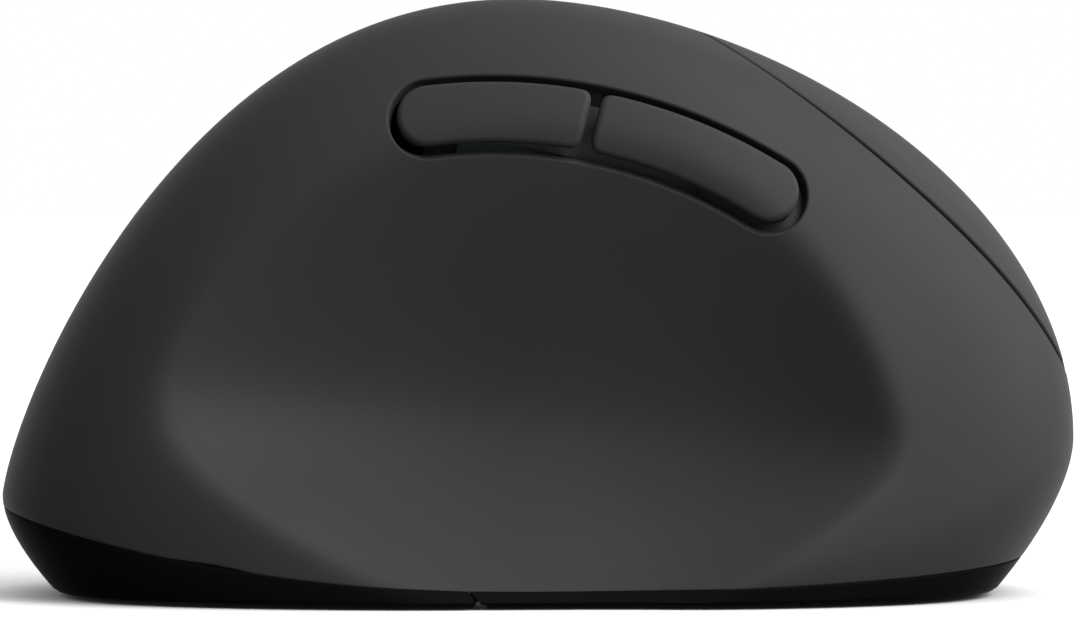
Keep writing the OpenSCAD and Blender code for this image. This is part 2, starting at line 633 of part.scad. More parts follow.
module contact_springs() color("Silver") {
    inner = [holder_y[0] + holder_t, holder_y[1] - holder_t];
    contact(cell_x[0], inner[0], contact_t);
    contact(cell_x[1], inner[1] - contact_t, contact_t);
    for (k = [0, 1]) translate([cell_x[0], inner[0] + contact_t + coil_t * k, cell_z]) rotate([-90, 0, 0])
        cylinder(r = coil[k], h = coil_t);
    translate([cell_x[1], cell_y + cell_l - nub[1], cell_z]) rotate([-90, 0, 0])
        cylinder(r1 = coil[1], r2 = coil[0], h = plate_room + nub[1] - contact_t);
}
module contact_plates() color("Goldenrod") {
    contact(cell_x[0], cell_y + cell_l, plate_room);
    contact(cell_x[1], holder_y[0] + holder_t, spring_room - nub[1]);
}

// inner chassis: sloped plate, feet, ribs, pivot lugs, carrier pins and the side wall
plate_t = 2;
plate_x = [0.0667 * half_l, 0.7667 * half_l];
plate_y = [index_hinge[0] - 4, middle_hinge[0] + 9.75];
// front tongue of the plate under the wheel strip
tongue = [8, 18];
tongue_y = wheel_y - 6;
lug_w = 5;
lug_top = 2.2;
lug_sink = 1;
function lug_pair(c, half) = [c - half - lug_room - lug_t / 2, c + half + lug_room + lug_t / 2];
lugs = concat(lug_pair(index_hinge[0], index_barrel), lug_pair(middle_hinge[0], middle_barrel));
pin_s = [-9.6, 9.6];
pin_r = 1.2;
pin_h = 10;
side_a = 12.5;
// foot block, its ribs up to the plate, and the upright wall for the side switches
block_y = [5, 12];
block_h = 5;
block_in = 2;
rib_in = [1, 8];
rib_t = 2.5;
rib_line = [[11, floor_z], [11, 4], [6, 7.5], [-12, 27.3], [-12, 19], [3, floor_z]];
wall_size = [38, 32, 2];
wall_from = 28.2;
foot_bore = 6.6;
module chassis() color("SlateGray") difference() {
    union() {
        incline() {
            translate([plate_x[0], plate_y[0], plate_top - plate_t])
                cube([plate_x[1] - plate_x[0], plate_y[1] - plate_y[0], plate_t]);
            translate([plate_x[1] - 1, tongue_y, plate_top - plate_t]) cube([tongue[0], tongue[1], plate_t]);
            for (y = lugs) translate([hinge_x - lug_w / 2, y - lug_t / 2, plate_top - lug_sink])
                cube([lug_w, lug_t, hinge_z + lug_top - plate_top + lug_sink]);
        }
        for (s = pin_s) on_strip(s) translate([0, 0, plate_top - lug_sink]) cylinder(r = pin_r, h = pin_h);
        translate([plate_x[0] + block_in, block_y[0], floor_z])
            cube([plate_x[1] - plate_x[0] - 2 * block_in, block_y[1] - block_y[0], block_h]);
        for (x = [plate_x[0] + rib_in[0], plate_x[1] - rib_in[1]]) translate([x, 0, 0]) rotate([90, 0, 90])
            linear_extrude(rib_t) polygon(rib_line);
        on_side() rotate([0, 0, -side_a])
            translate([-wall_size[0] / 2, arc_r - wall_from, side_wall_y - wall_size[2]]) cube(wall_size);
    }
    key_bore();
    for (p = chassis_feet) translate([p[0], p[1], 0]) cylinder(r = pilot_r, h = foot_bore);
}
chassis_screw = 5;
module chassis_screws() color("Silver") for (p = chassis_feet) translate([p[0], p[1], foot_h + screw_fit])
    screw(chassis_screw);
rod_end = 1;
module rod(y0, y1) incline() translate([hinge_x, y0 - rod_end, hinge_z]) rotate([-90, 0, 0])
    cylinder(r = rod_r, h = y1 - y0 + 2 * rod_end);
module index_rod() color("Silver") rod(lugs[0], lugs[1]);
module middle_rod() color("Silver") rod(lugs[2], lugs[3]);

// switch board on the sloped plate, clear of the upright wall
board_x = 0.4 * half_l;
board_in = [1, 2];
pin_gap = 0.2;
leg_gap = 0.3;
module switch_board() color("ForestGreen") difference() {
    incline() translate([board_x, plate_y[0] + board_in[0], plate_top]) cube([plate_x[1] - board_x,
        plate_y[1] - plate_y[0] - board_in[0] - board_in[1], board_top - plate_top]);
    for (s = pin_s) on_strip(s) cylinder(r = pin_r + pin_gap, h = slot_h);
    on_strip(leg_s[1]) cylinder(r = leg_r + leg_gap, h = slot_h);
}
// key switches with a square bore for the plunger
switch_size = [12.8, 5.8];
plunger_size = [3, 2];
module centred(size, h) translate([-size[0] / 2, -size[1] / 2, 0]) cube([size[0], size[1], h]);
module key_switch(at) incline() translate([stem_x, at[0], board_top]) difference() {
    centred(switch_size, switch_h);
    translate([0, 0, switch_h - plunger_in - plunger_room])
        centred([plunger_size[0] + 2 * plunger_fit, plunger_size[1] + 2 * plunger_fit], switch_h);
}
module key_plunger(at) incline() translate([stem_x, at[0], board_top + switch_h - plunger_in])
    centred(plunger_size, plunger_in + plunger_h);
module index_switch() color("Black") key_switch(index_stem);
module middle_switch() color("Black") key_switch(middle_stem);
module index_plunger() color("White") key_plunger(index_stem);
module middle_plunger() color("White") key_plunger(middle_stem);
// small push switch on z = 0 with a round bore, and its plunger up to a height
module push_switch(base) difference() {
    translate([0, 0, -base]) centred([small_sw[0], small_sw[0]], small_sw[1] + base);
    translate([0, 0, small_sw[1] - plunger_in - plunger_room])
        cylinder(r = plunger_r + plunger_fit, h = small_sw[1]);
}
module push_plunger(top) translate([0, 0, small_sw[1] - plunger_in])
    cylinder(r = plunger_r, h = top - small_sw[1] + plunger_in);
module resolution_switch() color("Black") on_strip(dpi_s) translate([0, 0, board_top])
    push_switch(board_top - plate_top);
module resolution_plunger() color("White") on_strip(dpi_s) translate([0, 0, board_top])
    push_plunger(small_sw[1] + plunger_h);

// wheel, its carrier on two pins, encoder and switch
carrier_z = [16.6, 18.4];
cheek = [3.9, 5.4];
axle_fit = 0.05;
// encoder beside the wheel: width, ends along the strip, cover over the axle
enc_w = 4.4;
enc_s = [-7, 2.6];
enc_cover = 0.6;
rib_d = 0.5;
rib_w = 1;
tyre_t = 2.5;
hub_in = 0.4;
module wheel_disc(r, w) translate([0, 0, wheel_z]) rotate([90, 0, 0]) translate([0, 0, -w / 2])
    cylinder(r = r, h = w, $fn = 96);
module wheel_hub() color("DimGray") on_strip() difference() {
    wheel_disc(wheel_r - tyre_t, wheel_w - hub_in);
    wheel_disc(axle_r, 2 * wheel_w);
}
module wheel_tyre() color("Black") on_strip() difference() {
    wheel_disc(wheel_r, wheel_w);
    wheel_disc(wheel_r - tyre_t, 2 * wheel_w);
    for (i = [0:wheel_ribs - 1]) translate([0, 0, wheel_z]) rotate([0, 360 * i / wheel_ribs, 0])
        translate([wheel_r - rib_d, -wheel_w, -rib_w / 2]) cube([tyre_t, 2 * wheel_w, rib_w]);
}
// ends of the axle beyond the far cheek and inside the encoder
axle_out = [0.6, 0.2];
module wheel_axle() color("Silver") on_strip() translate([0, cheek[1] + axle_out[0], wheel_z])
    rotate([90, 0, 0]) cylinder(r = axle_r, h = 2 * cheek[1] + enc_w + axle_out[0] - axle_out[1]);
carrier_half = 12;
cheek_half = 4;
cheek_top = 2.4;
cheek_sink = 0.5;
pin_fit = 0.05;
module wheel_carrier() color("SlateGray") on_strip() difference() {
    union() {
        translate([-carrier_half, -cheek[1] - enc_w, carrier_z[0]])
            cube([2 * carrier_half, 2 * cheek[1] + enc_w, carrier_z[1] - carrier_z[0]]);
        for (k = [-1, 1]) translate([-cheek_half, k > 0 ? cheek[0] : -cheek[1], carrier_z[1] - cheek_sink])
            cube([2 * cheek_half, cheek[1] - cheek[0], wheel_z + cheek_top - carrier_z[1] + cheek_sink]);
    }
    wheel_disc(axle_r + axle_fit, slot_h);
    for (s = pin_s) translate([s, 0, 0]) cylinder(r = pin_r + pin_fit, h = slot_h);
}
module wheel_encoder() color("DarkGreen") on_strip() difference() {
    translate([enc_s[0], -cheek[1] - enc_w, carrier_z[1]])
        cube([enc_s[1] - enc_s[0], enc_w, wheel_z + axle_r + axle_fit + enc_cover - carrier_z[1]]);
    wheel_disc(axle_r + axle_fit, slot_h);
}
module wheel_switch() color("Black") on_strip() translate([0, 0, board_top]) push_switch(0);
module wheel_plunger() color("White") on_strip() translate([0, 0, board_top])
    push_plunger(carrier_z[0] - touch - board_top);

// side button switches on an upright board, with a guide plate for the stems
column_x = 17.2;
column_r = 1.6;
frame_drop = 1.4;
side_pcb = [30.8, 11];
guide_size = [38, 6];
guide_low = -3;
guide_fit = 0.06;
module on_arc(a) on_side() translate(concat(arc_pt(a, cap_r), 0)) rotate([0, 0, -side_a]) children();
module side_frame() on_side() rotate([0, 0, -side_a]) translate([0, cap_r - frame_drop, 0]) children();
module side_board() color("ForestGreen") side_frame() translate([0, 0, side_wall_y])
    centred(side_pcb, side_board_y - side_wall_y);
module side_guide() color("SlateGray") difference() {
    side_frame() {
        translate([-guide_size[0] / 2, guide_low, guide_y[0]])
            cube([guide_size[0], guide_size[1], guide_y[1] - guide_y[0]]);
        for (k = [-1, 1]) translate([k * column_x, 0, side_wall_y])
            cylinder(r = column_r, h = guide_y[0] + sink - side_wall_y);
    }
    for (a = [back_a, forward_a]) on_arc(a) cylinder(r = stem_r + guide_fit, h = slot_h);
}
module side_switch(a) on_arc(a) translate([0, 0, side_board_y]) push_switch(0);
module side_plunger(a) on_arc(a) translate([0, 0, side_board_y]) push_plunger(small_sw[1] + plunger_h);
module back_switch() color("Black") side_switch(back_a);
module forward_switch() color("Black") side_switch(forward_a);
module back_plunger() color("White") side_plunger(back_a);
module forward_plunger() color("White") side_plunger(forward_a);
// flat ribbon between the boards, with its socket
ribbon_x = -3.5;
ribbon = [6, 0.3, 42.5];
socket = [8, 2.4, 2];
ribbon_at = [ribbon_x, mid_y - side_board_y - ribbon[1], board_z + board_t];
module side_ribbon() color("LightGray") translate(ribbon_at) {
    cube(ribbon);
    translate([(ribbon[0] - socket[0]) / 2, -socket[1] / 2, 0]) cube(socket);
}

upper_shell();
index_key();
middle_key();
wheel_strip();
back_button();
forward_button();
base_plate();
battery_cover();
front_feet();
rear_feet();
base_screws();
power_slider();
sensor_lens();
usb_receiver();
chassis();
chassis_screws();
main_board();
sensor_chip();
sensor_lamp();
power_switch();
battery_holder();
holder_screws();
battery_cells();
contact_springs();
contact_plates();
switch_board();
index_switch();
middle_switch();
index_plunger();
middle_plunger();
index_rod();
middle_rod();
wheel_hub();
wheel_tyre();
wheel_axle();
wheel_carrier();
wheel_encoder();
wheel_switch();
wheel_plunger();
resolution_button();
resolution_switch();
resolution_plunger();
side_board();
side_guide();
back_switch();
forward_switch();
back_plunger();
forward_plunger();
side_ribbon();
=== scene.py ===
import json
import math
import bmesh
import bpy
import numpy as np
from mathutils import Matrix, Vector, geometry


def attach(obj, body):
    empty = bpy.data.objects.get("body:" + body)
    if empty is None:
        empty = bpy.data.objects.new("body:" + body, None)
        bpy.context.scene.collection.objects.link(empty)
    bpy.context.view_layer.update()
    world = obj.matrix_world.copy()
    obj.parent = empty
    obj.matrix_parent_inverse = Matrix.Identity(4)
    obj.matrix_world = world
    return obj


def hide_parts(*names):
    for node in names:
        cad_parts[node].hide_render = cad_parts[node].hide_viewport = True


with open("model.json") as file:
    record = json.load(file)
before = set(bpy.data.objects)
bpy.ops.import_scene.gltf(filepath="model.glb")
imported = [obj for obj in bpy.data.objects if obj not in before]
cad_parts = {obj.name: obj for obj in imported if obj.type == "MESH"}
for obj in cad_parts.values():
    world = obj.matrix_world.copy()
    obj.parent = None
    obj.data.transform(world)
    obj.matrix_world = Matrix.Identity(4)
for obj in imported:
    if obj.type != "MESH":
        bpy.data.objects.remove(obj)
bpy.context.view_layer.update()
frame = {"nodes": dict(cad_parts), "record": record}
nodes = frame["nodes"]
scene = bpy.context.scene
mm = 0.001

# the moulded outer form, in millimetres; four values run front, finger side, rear, thumb side
bodyForm = {
    "length": 120, "width": 78, "height": 66.6, "foot": 0.6, "wall": 1.6,
    "waist": (17.8, 8, 11.3, 2.7),
    "powAcross": (1.753, 1.45, 2.146, 1.75), "powUp": (1.942, 1.45, 1.316, 1.75),
    "powPlan": (1.9, 2.3, 2.2, 2.1),
    "tuckFirst": (0.26, 0.3, 0.42, 0.2), "tuckSecond": (0.0179, 0.02, 0.025, 0.02), "tuckRound": 4,
    "partHeight": (4.6, 5, 10.2, 2.1), "partGap": 0.15,
    "waistPower": 2.6,
    "bandSlope": 0.33, "bandRound": 3, "bandDrop": 12, "bandSoft": 1.2,
    "dropDown": (46, -28), "dropFront": (0, 20), "dropRear": (-8, -30),  # start and run of the band's drop
    "hollowHeight": 17.5, "hollowLean": 0.09, "ledgeSlope": 1.16, "overSlope": 0.33, "bendRound": 7,
    "hollowSoft": 2, "endMiddle": -1, "endRise": 11, "endReach": (41.52, 45), "endPower": (3, 2.2),
    "endLow": 0.72, "endHeight": 20,  # share of the ends' reach at the foot, and the height of full reach
}
halfL = bodyForm["length"] / 2
halfW = bodyForm["width"] / 2
height = bodyForm["height"]
foot = bodyForm["foot"]
crestX = -halfL / 30
midY = -0.0167 * halfW
crestY = midY - 0.385 * halfW
tipY = midY - 0.18 * halfW
hollowY = midY - 0.487 * halfW


def ease(t):
    u = np.clip(t, 0, 1)
    return u * u * (3 - 2 * u)


def softMax(a, b, r):
    return (a + b + np.sqrt((a - b) ** 2 + r * r)) / 2


def power(v, e):
    return np.maximum(v, 0) ** e


def cosSin(a):
    return np.cos(np.radians(a)), np.sin(np.radians(a))


def fromFour(key, c, s):
    q = bodyForm[key]
    return c * c * np.where(c > 0, q[0], q[2]) + s * s * np.where(s > 0, q[1], q[3])


def frontOrRear(key, x):
    return np.where(x > crestX, bodyForm[key][0], bodyForm[key][2])


def crestReach(x):
    return np.where(x > crestX, halfL - crestX, halfL + crestX)


def crestZ(x):
    w = frontOrRear("waist", x)
    u = np.minimum(1, abs(x - crestX) / crestReach(x))
    return w + (height - w) * power(1 - power(u, frontOrRear("powAcross", x)), 1 / frontOrRear("powUp", x))


def endGap(x, z):
    w = frontOrRear("waist", x)
    k = np.clip((z - w) / (height - w), 0, 1)
    level = power(1 - power(k, frontOrRear("powUp", x)), 1 / frontOrRear("powAcross", x))
    return crestReach(x) * level - abs(x - crestX)


def crestLine(x):
    return crestY + (tipY - crestY) * abs(x - crestX) / crestReach(x)


def ramp(key, t):
    start, run = bodyForm[key]
    return ease((t - start) / run)


def bandY(x, z):  # top band beside the crest
    v = np.maximum(1e-4, crestZ(x) - z)
    h = np.maximum(1e-4, endGap(x, z))
    d = v * h / np.hypot(v, h)
    k, r = bodyForm["bandSlope"], bodyForm["bandRound"]
    ends = ramp("dropDown", z) * ramp("dropFront", x) + ramp("dropRear", x)
    return crestLine(x) - np.sqrt(d * d / k / k + 2 * r * d) - r / 5 - bodyForm["bandDrop"] * ends


def hollow(x, z):  # thumb hollow with its ledge
    f = bodyForm
    b = f["hollowHeight"] - f["hollowLean"] * x
    front = x > f["endMiddle"]
    share = f["endLow"] + (1 - f["endLow"]) * ease(z / f["endHeight"])
    reach = np.where(front, *f["endReach"]) * share
    end = f["endRise"] * (abs(x - f["endMiddle"]) / reach) ** np.where(front, *f["endPower"])
    ledge = f["ledgeSlope"] * softMax(b - z, 0, f["bendRound"])
    over = f["overSlope"] * softMax(z - b, 0, f["bendRound"])
    return hollowY - ledge - over - end + (f["ledgeSlope"] + f["overSlope"]) * f["bendRound"] / 4


def waistZ(c, s):
    q = bodyForm["waist"]
    k = abs(c) ** bodyForm["waistPower"]
    return k * np.where(c > 0, q[0], q[2]) + (1 - k) * np.where(s > 0, q[1], q[3])


def skin(a, v):  # turn round the body in degrees; height from -1 (foot) over 0 (waist) to 1 (crest)
    a, v = np.broadcast_arrays(np.asarray(a, float), np.asarray(v, float))
    c, s = cosSin(a)
    p = bodyForm["powPlan"]
    e = 2 / np.where(s < 0, np.where(c > 0, p[0], p[3]), np.where(c > 0, p[1], p[2]))
    ex = halfL * np.sign(c) * power(abs(c), e)
    ey = halfW * np.sign(s) * power(abs(s), e) + midY + (tipY - midY) * c * c
    w = waistZ(c, s)
    f = np.radians(90 * np.clip(v, 0, 1))
    across = power(np.cos(f), 2 / fromFour("powAcross", c, s))
    up = power(np.sin(f), 2 / fromFour("powUp", c, s))
    d = (w - foot) * np.maximum(0, -v)
    r = bodyForm["tuckRound"]
    tuck = fromFour("tuckFirst", c, s) * (np.sqrt(d * d + r * r) - r) + fromFour("tuckSecond", c, s) * d * d
    k = 1 - tuck / np.hypot(ex, ey)
    x = np.where(v >= 0, crestX + (ex - crestX) * across, ex * k)
    y = np.where(v >= 0, crestY + (ey - crestY) * across, ey * k)
    z = np.where(v >= 0, w + (height - w) * up, w - d)
    y = softMax(softMax(y, bandY(x, z), bodyForm["bandSoft"]), hollow(x, z), bodyForm["hollowSoft"])
    return np.stack([x, y, z], -1)


def unit(v):
    return v / np.maximum(1e-12, np.linalg.norm(v, axis=-1, keepdims=True))


def skinNormal(a, v):
    da, dv, pole = 0.4, 0.003, 0.992
    n = unit(np.cross(skin(a + da, v) - skin(a - da, v), skin(a, v + dv) - skin(a, v - dv)))
    return np.where((np.asarray(v) > pole)[..., None], np.array([0, 0, 1.0]), n)


def partV(a, drop=0.0):  # where the shell meets the base
    c, s = cosSin(a)
    w = waistZ(c, s)
    return -(w - fromFour("partHeight", c, s) + drop) / (w - foot)


# triangles on and between rings of points

def fan(ring, tip):
    return np.stack([ring, np.roll(ring, -1), np.full(len(ring), tip)], 1)


def bridge(ring, following):
    r1, f1 = np.roll(ring, -1), np.roll(following, -1)
    return np.concatenate([np.stack([r1, ring, following], 1), np.stack([r1, following, f1], 1)])


def stacked(n, count):  # faces between rings of n points
    k = np.arange(n)
    return [bridge((j + 1) * n + k, j * n + k) for j in range(count - 1)]


def sides(tris):
    return np.concatenate([tris[:, [0, 1]], tris[:, [1, 2]], tris[:, [2, 0]]])


# patches of the skin: turn and height of every corner, and triangles between them

def gridPatch(turns, rows, heightOf, closed=True, pole=False):
    n, m = len(turns), len(rows)
    a = np.tile(turns, m)
    v = np.concatenate([heightOf(turns, u) for u in rows])
    i, j = np.meshgrid(np.arange(n if closed else n - 1), np.arange(m - 1))
    q0 = (j * n + i).ravel()
    q1 = (j * n + (i + 1) % n).ravel()
    p = skin(a, v)
    flip = np.linalg.norm(p[q0] - p[q1 + n], axis=1) < np.linalg.norm(p[q1] - p[q0 + n], axis=1)
    one = np.where(flip[:, None], np.stack([q0, q1, q1 + n], 1), np.stack([q0, q1, q0 + n], 1))
    two = np.where(flip[:, None], np.stack([q0, q1 + n, q0 + n], 1), np.stack([q1, q1 + n, q0 + n], 1))
    tris = np.concatenate([one, two])
    if pole:
        tris = np.concatenate([tris, fan((m - 1) * n + np.arange(n), m * n)])
        a, v = np.append(a, 0.0), np.append(v, 1.0)
    return a, v, tris


def cutPatch(patch, field):  # keeps what lies where the field is above zero, with new corners on its edge
    a, v, tris = patch
    f = field(skin(a, v))
    f = np.where(f == 0, 1e-9, f)
    inside = f[tris] > 0
    count = inside.sum(1)
    mixed = tris[(count == 1) | (count == 2)]
    edges = sides(mixed)
    edges = np.unique(np.sort(edges[(f[edges[:, 0]] > 0) != (f[edges[:, 1]] > 0)], axis=1), axis=0)
    low, high = np.zeros(len(edges)), np.ones(len(edges))
    f0, f1 = f[edges[:, 0]], f[edges[:, 1]]
    for _ in range(5):  # false position on the true skin
        t = low + (high - low) * f0 / (f0 - f1)
        ta = a[edges[:, 0]] + t * (a[edges[:, 1]] - a[edges[:, 0]])
        tv = v[edges[:, 0]] + t * (v[edges[:, 1]] - v[edges[:, 0]])
        ft = field(skin(ta, tv))
        same = (ft > 0) == (f0 > 0)
        low, f0 = np.where(same, t, low), np.where(same, ft, f0)
        high, f1 = np.where(same, high, t), np.where(same, f1, ft)
    crossing = {tuple(e): len(a) + k for k, e in enumerate(edges)}
    made = [tris[count == 3]]
    extra = []
    for tri in mixed:
        for k in range(3):  # turn it so that the odd corner comes first
            p, q, r = tri[k], tri[(k + 1) % 3], tri[(k + 2) % 3]
            if (f[q] > 0) == (f[r] > 0) and (f[p] > 0) != (f[q] > 0):
                pq, rp = crossing[tuple(sorted((p, q)))], crossing[tuple(sorted((r, p)))]
                extra += [(p, pq, rp)] if f[p] > 0 else [(pq, q, r), (pq, r, rp)]
    made = np.concatenate(made + [np.array(extra, int).reshape(-1, 3)])
    a, v = np.concatenate([a, ta]), np.concatenate([v, tv])
    used, back = np.unique(made, return_inverse=True)
    return a[used], v[used], back.reshape(-1, 3)


def edgeLoops(tris):
    pairs = set(map(tuple, sides(tris).tolist()))
    following = {p: q for p, q in pairs if (q, p) not in pairs}
    loops = []
    while following:
        start, q = following.popitem()
        loop = [start]
        while q != start:
            loop.append(q)
            q = following.pop(q)
        loops.append(np.array(loop))
    return loops


def loopOutward(p, n, reach=0.35):  # in the surface, away from what is kept, from a smoothed run of the edge
    closed = np.concatenate([p, p[:1]])
    s = np.concatenate([[0], np.cumsum(np.linalg.norm(np.diff(closed, axis=0), axis=1))])
    around = lambda x: np.stack([np.interp(x % s[-1], s, closed[:, k]) for k in range(3)], -1)
    along = unit(around(s[:-1] + reach) - around(s[:-1] - reach))
    return unit(np.cross(along, n))


def walledPiece(patch, edge, wall, lift=0.0):  # a patch with rounded edges, a wall and an inner face
    a, v, tris = patch
    n = skinNormal(a, v)
    p = skin(a, v) + lift * n
    verts, normals, faces = [p], [n], [tris]
    count = len(p)
    inner = count + np.arange(count)
    verts.append(p - wall * n)
    normals.append(-n)
    faces.append(inner[tris[:, ::-1]])
    count *= 2
    steps = 5
    for loop in edgeLoops(tris):
        pl, nl = p[loop], n[loop]
        out = loopOutward(pl, nl)
        ring = loop
        for k in range(1, steps + 2):
            turn = math.radians(90 * min(k, steps) / steps)
            at = pl + edge * (math.sin(turn) * out - (1 - math.cos(turn)) * nl)
            if k > steps:
                at = at - (wall - edge) * nl
            verts.append(at)
            normals.append(math.cos(turn) * nl + math.sin(turn) * out)
            following = count + np.arange(len(loop))
            count += len(loop)
            faces.append(bridge(ring, following))
            ring = following
        faces.append(bridge(ring, inner[loop]))
    return np.concatenate(verts), np.concatenate(faces), np.concatenate(normals)


def joined(*solids):
    verts, faces, normals = zip(*solids)
    before = np.cumsum([0] + [len(v) for v in verts])
    faces = [f + k for f, k in zip(faces, before)]
    return np.concatenate(verts), np.concatenate(faces), np.concatenate(normals)


def cornerNormals(verts, faces):
    n = np.cross(verts[faces[:, 1]] - verts[faces[:, 0]], verts[faces[:, 2]] - verts[faces[:, 0]])
    total = np.zeros_like(verts)
    for k in range(3):
        np.add.at(total, faces[:, k], n)
    return unit(total)


def ringSolid(rings, place, top=None):  # a closed solid through rings of points, with a fan at each end
    n, k = len(rings[0]), np.arange(len(rings[0]))
    ends = np.array([rings[0].mean(0), rings[-1].mean(0) if top is None else top])
    verts = place(np.concatenate(rings + [ends]))
    low, high = len(verts) - 2, len(verts) - 1
    faces = stacked(n, len(rings)) + [fan(k, low)[:, [1, 0, 2]], fan((len(rings) - 1) * n + k, high)]
    faces = np.concatenate(faces)
    return verts, faces, cornerNormals(verts, faces)


def stadium(half, inset, z):  # a level ring with round ends
    hx, hy = half
    r = hy - inset
    w = np.radians(np.arange(0, 360, 9))
    side = np.where(np.cos(w) >= 0, 1, -1) * (hx - hy)
    return np.stack([side + r * np.cos(w), r * np.sin(w), np.full(len(w), z)], 1)


def roundedBox(low, high, corner, radius, steps):  # a loop about corner points that lie in from the sides
    x0, y0, x1, y1 = low[0] + corner, low[1] + corner, high[0] - corner, high[1] - corner
    loop = []
    for k, (x, y) in enumerate(((x1, y1), (x0, y1), (x0, y0), (x1, y0))):
        turns = np.radians(90 * k + np.linspace(0, 90, steps + 1))
        loop += [(x + radius * math.cos(w), y + radius * math.sin(w)) for w in turns]
    return np.array(loop)


def easedLevels(low, high, round):
    return (round, low), (0, low + round), (0, high - round), (round, high)


def peg(radius, low, high, place, round=0.3):  # a round pin with eased ends
    levels = easedLevels(low, high, round)
    return ringSolid([stadium((radius, radius), inset, z) for inset, z in levels], place)


def bar(low, high, place, round=0.25):  # a box with its upright edges and ends eased
    rings = []
    for inset, z in easedLevels(low[2], high[2], round):
        loop = roundedBox(low, high, round, round - inset, 2)
        rings.append(np.column_stack([loop, np.full(len(loop), z)]))
    return ringSolid(rings, place)


def shifted(x, y):
    return lambda v: v + [x, y, 0]


def smoothMesh(name, verts, faces):  # from millimetres
    mesh = bpy.data.meshes.new(name)
    mesh.from_pydata((np.asarray(verts) * mm).tolist(), [], np.asarray(faces).tolist())
    mesh.polygons.foreach_set("use_smooth", [True] * len(mesh.polygons))
    return mesh


def newObject(name, data):
    obj = bpy.data.objects.new(name, data)
    scene.collection.objects.link(obj)
    return obj


def addPiece(name, solid, material, body, slot, *standsFor):
    verts, faces, normals = solid
    mesh = smoothMesh(name, verts, faces)
    mesh.update()
    mesh.normals_split_custom_set_from_vertices(normals.tolist())
    mesh.materials.append(material)
    settle(name, mesh, body, slot, *standsFor)


def settle(name, mesh, body, slot, *standsFor):
    obj = newObject(name, mesh)
    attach(obj, body)
    if standsFor:
        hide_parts(*standsFor)
    print("piece:", obj.name, len(mesh.polygons), "faces")


# finishes

def wire(tree, node, inputs):  # each input gets a value, or a link from a socket or a node's first output
    for key, value in dict(inputs).items():
        if isinstance(value, bpy.types.Node):
            value = value.outputs[0]
        if isinstance(value, bpy.types.NodeSocket):
            tree.links.new(value, node.inputs[key])
        else:
            node.inputs[key].default_value = value
    return node


def addNode(tree, kind, inputs=(), **settings):
    node = tree.nodes.new(kind)
    for key, value in settings.items():
        setattr(node, key, value)
    return wire(tree, node, inputs)


def grey(level):
    return (level, level, level, 1)


def mouldedFinish(name, look):  # moulded plastic: cloudy tint, fine grain in gloss and relief
    material = bpy.data.materials.new(name)
    material.use_nodes = True
    tree = material.node_tree
    at = addNode(tree, "ShaderNodeTexCoord").outputs["Object"]
    cloud = addNode(tree, "ShaderNodeTexNoise",
                    {"Vector": at, "Scale": look["cloudScale"], "Detail": 3, "Roughness": 0.5}).outputs["Fac"]
    grain = addNode(tree, "ShaderNodeTexNoise",
                    {"Vector": at, "Scale": look["grainScale"], "Detail": 2, "Roughness": 0.6}).outputs["Fac"]
    dark, light = [(*[c * k for c in look["color"]], 1) for k in (1 - look["cloud"], 1 + look["cloud"])]
    tint = addNode(tree, "ShaderNodeMix", {"Factor": cloud, "A": dark, "B": light}, data_type="RGBA")
    rough, vary = look["rough"], look["roughVary"]
    gloss = addNode(tree, "ShaderNodeMapRange",
                    {"Value": grain, "To Min": rough - vary, "To Max": rough + vary})
    bump = addNode(tree, "ShaderNodeBump",
                   {"Strength": look["relief"], "Distance": look["reliefDepth"] * mm, "Height": grain})
    wire(tree, tree.nodes["Principled BSDF"], {
        "Base Color": tint.outputs["Result"], "Roughness": gloss, "Normal": bump,
        "Metallic": look.get("metal", 0.0), "Specular IOR Level": look.get("specular", 0.5),
        "Transmission Weight": look.get("clear", 0.0)})
    return material


def moulded(color, rough, relief=0.12, grain=7000, **more):
    look = {"color": color, "rough": rough, "roughVary": 0.05, "cloud": 0.06, "cloudScale": 90,
            "grainScale": grain, "relief": relief, "reliefDepth": 0.05}
    return {**look, **more}


finishLooks = {  # colours are linear
    "shellPlastic": moulded((0.0245, 0.025, 0.0262), 0.5, relief=0.16, specular=0.04),
    "keyPlastic": moulded((0.0245, 0.025, 0.0262), 0.5, relief=0.16, specular=0.04),
    "capPlastic": moulded((0.0245, 0.025, 0.0262), 0.48, relief=0.12, specular=0.04),
    "basePlastic": moulded((0.0035, 0.0035, 0.0037), 0.36, relief=0.08, specular=0.003),
    "stripPlastic": moulded((0.010, 0.010, 0.0105), 0.34, relief=0.06, specular=0.06),
    "footPad": moulded((0.02, 0.02, 0.021), 0.42, relief=0.06, grain=3000, specular=0.12),
    "tyreRubber": moulded((0.014, 0.014, 0.0145), 0.7, relief=0.3, grain=4000, specular=0.1),
    "framePlastic": moulded((0.045, 0.046, 0.05), 0.55, relief=0.2, grain=5000),
    "platedSteel": moulded((0.55, 0.55, 0.56), 0.3, relief=0.08, grain=2500, metal=1.0),
    "contactSheet": moulded((0.62, 0.5, 0.25), 0.28, relief=0.06, grain=2500, metal=1.0),
    "boardMask": moulded((0.012, 0.085, 0.035), 0.35, relief=0.25, grain=1500, cloud=0.3, cloudScale=400),
    "chipPackage": moulded((0.012, 0.012, 0.013), 0.6, relief=0.2),
    "nubPlastic": moulded((0.7, 0.7, 0.66), 0.4, relief=0.08),
    "lensClear": moulded((0.9, 0.94, 0.95), 0.08, relief=0.02, clear=0.9),
    "lampTint": moulded((0.45, 0.02, 0.015), 0.12, relief=0.02, clear=0.6),
    "cellWrap": moulded((0.05, 0.12, 0.24), 0.3, relief=0.05, cloud=0.12),
    "ribbonFilm": moulded((0.55, 0.55, 0.52), 0.4, relief=0.06, cloud=0.15, cloudScale=800),
}
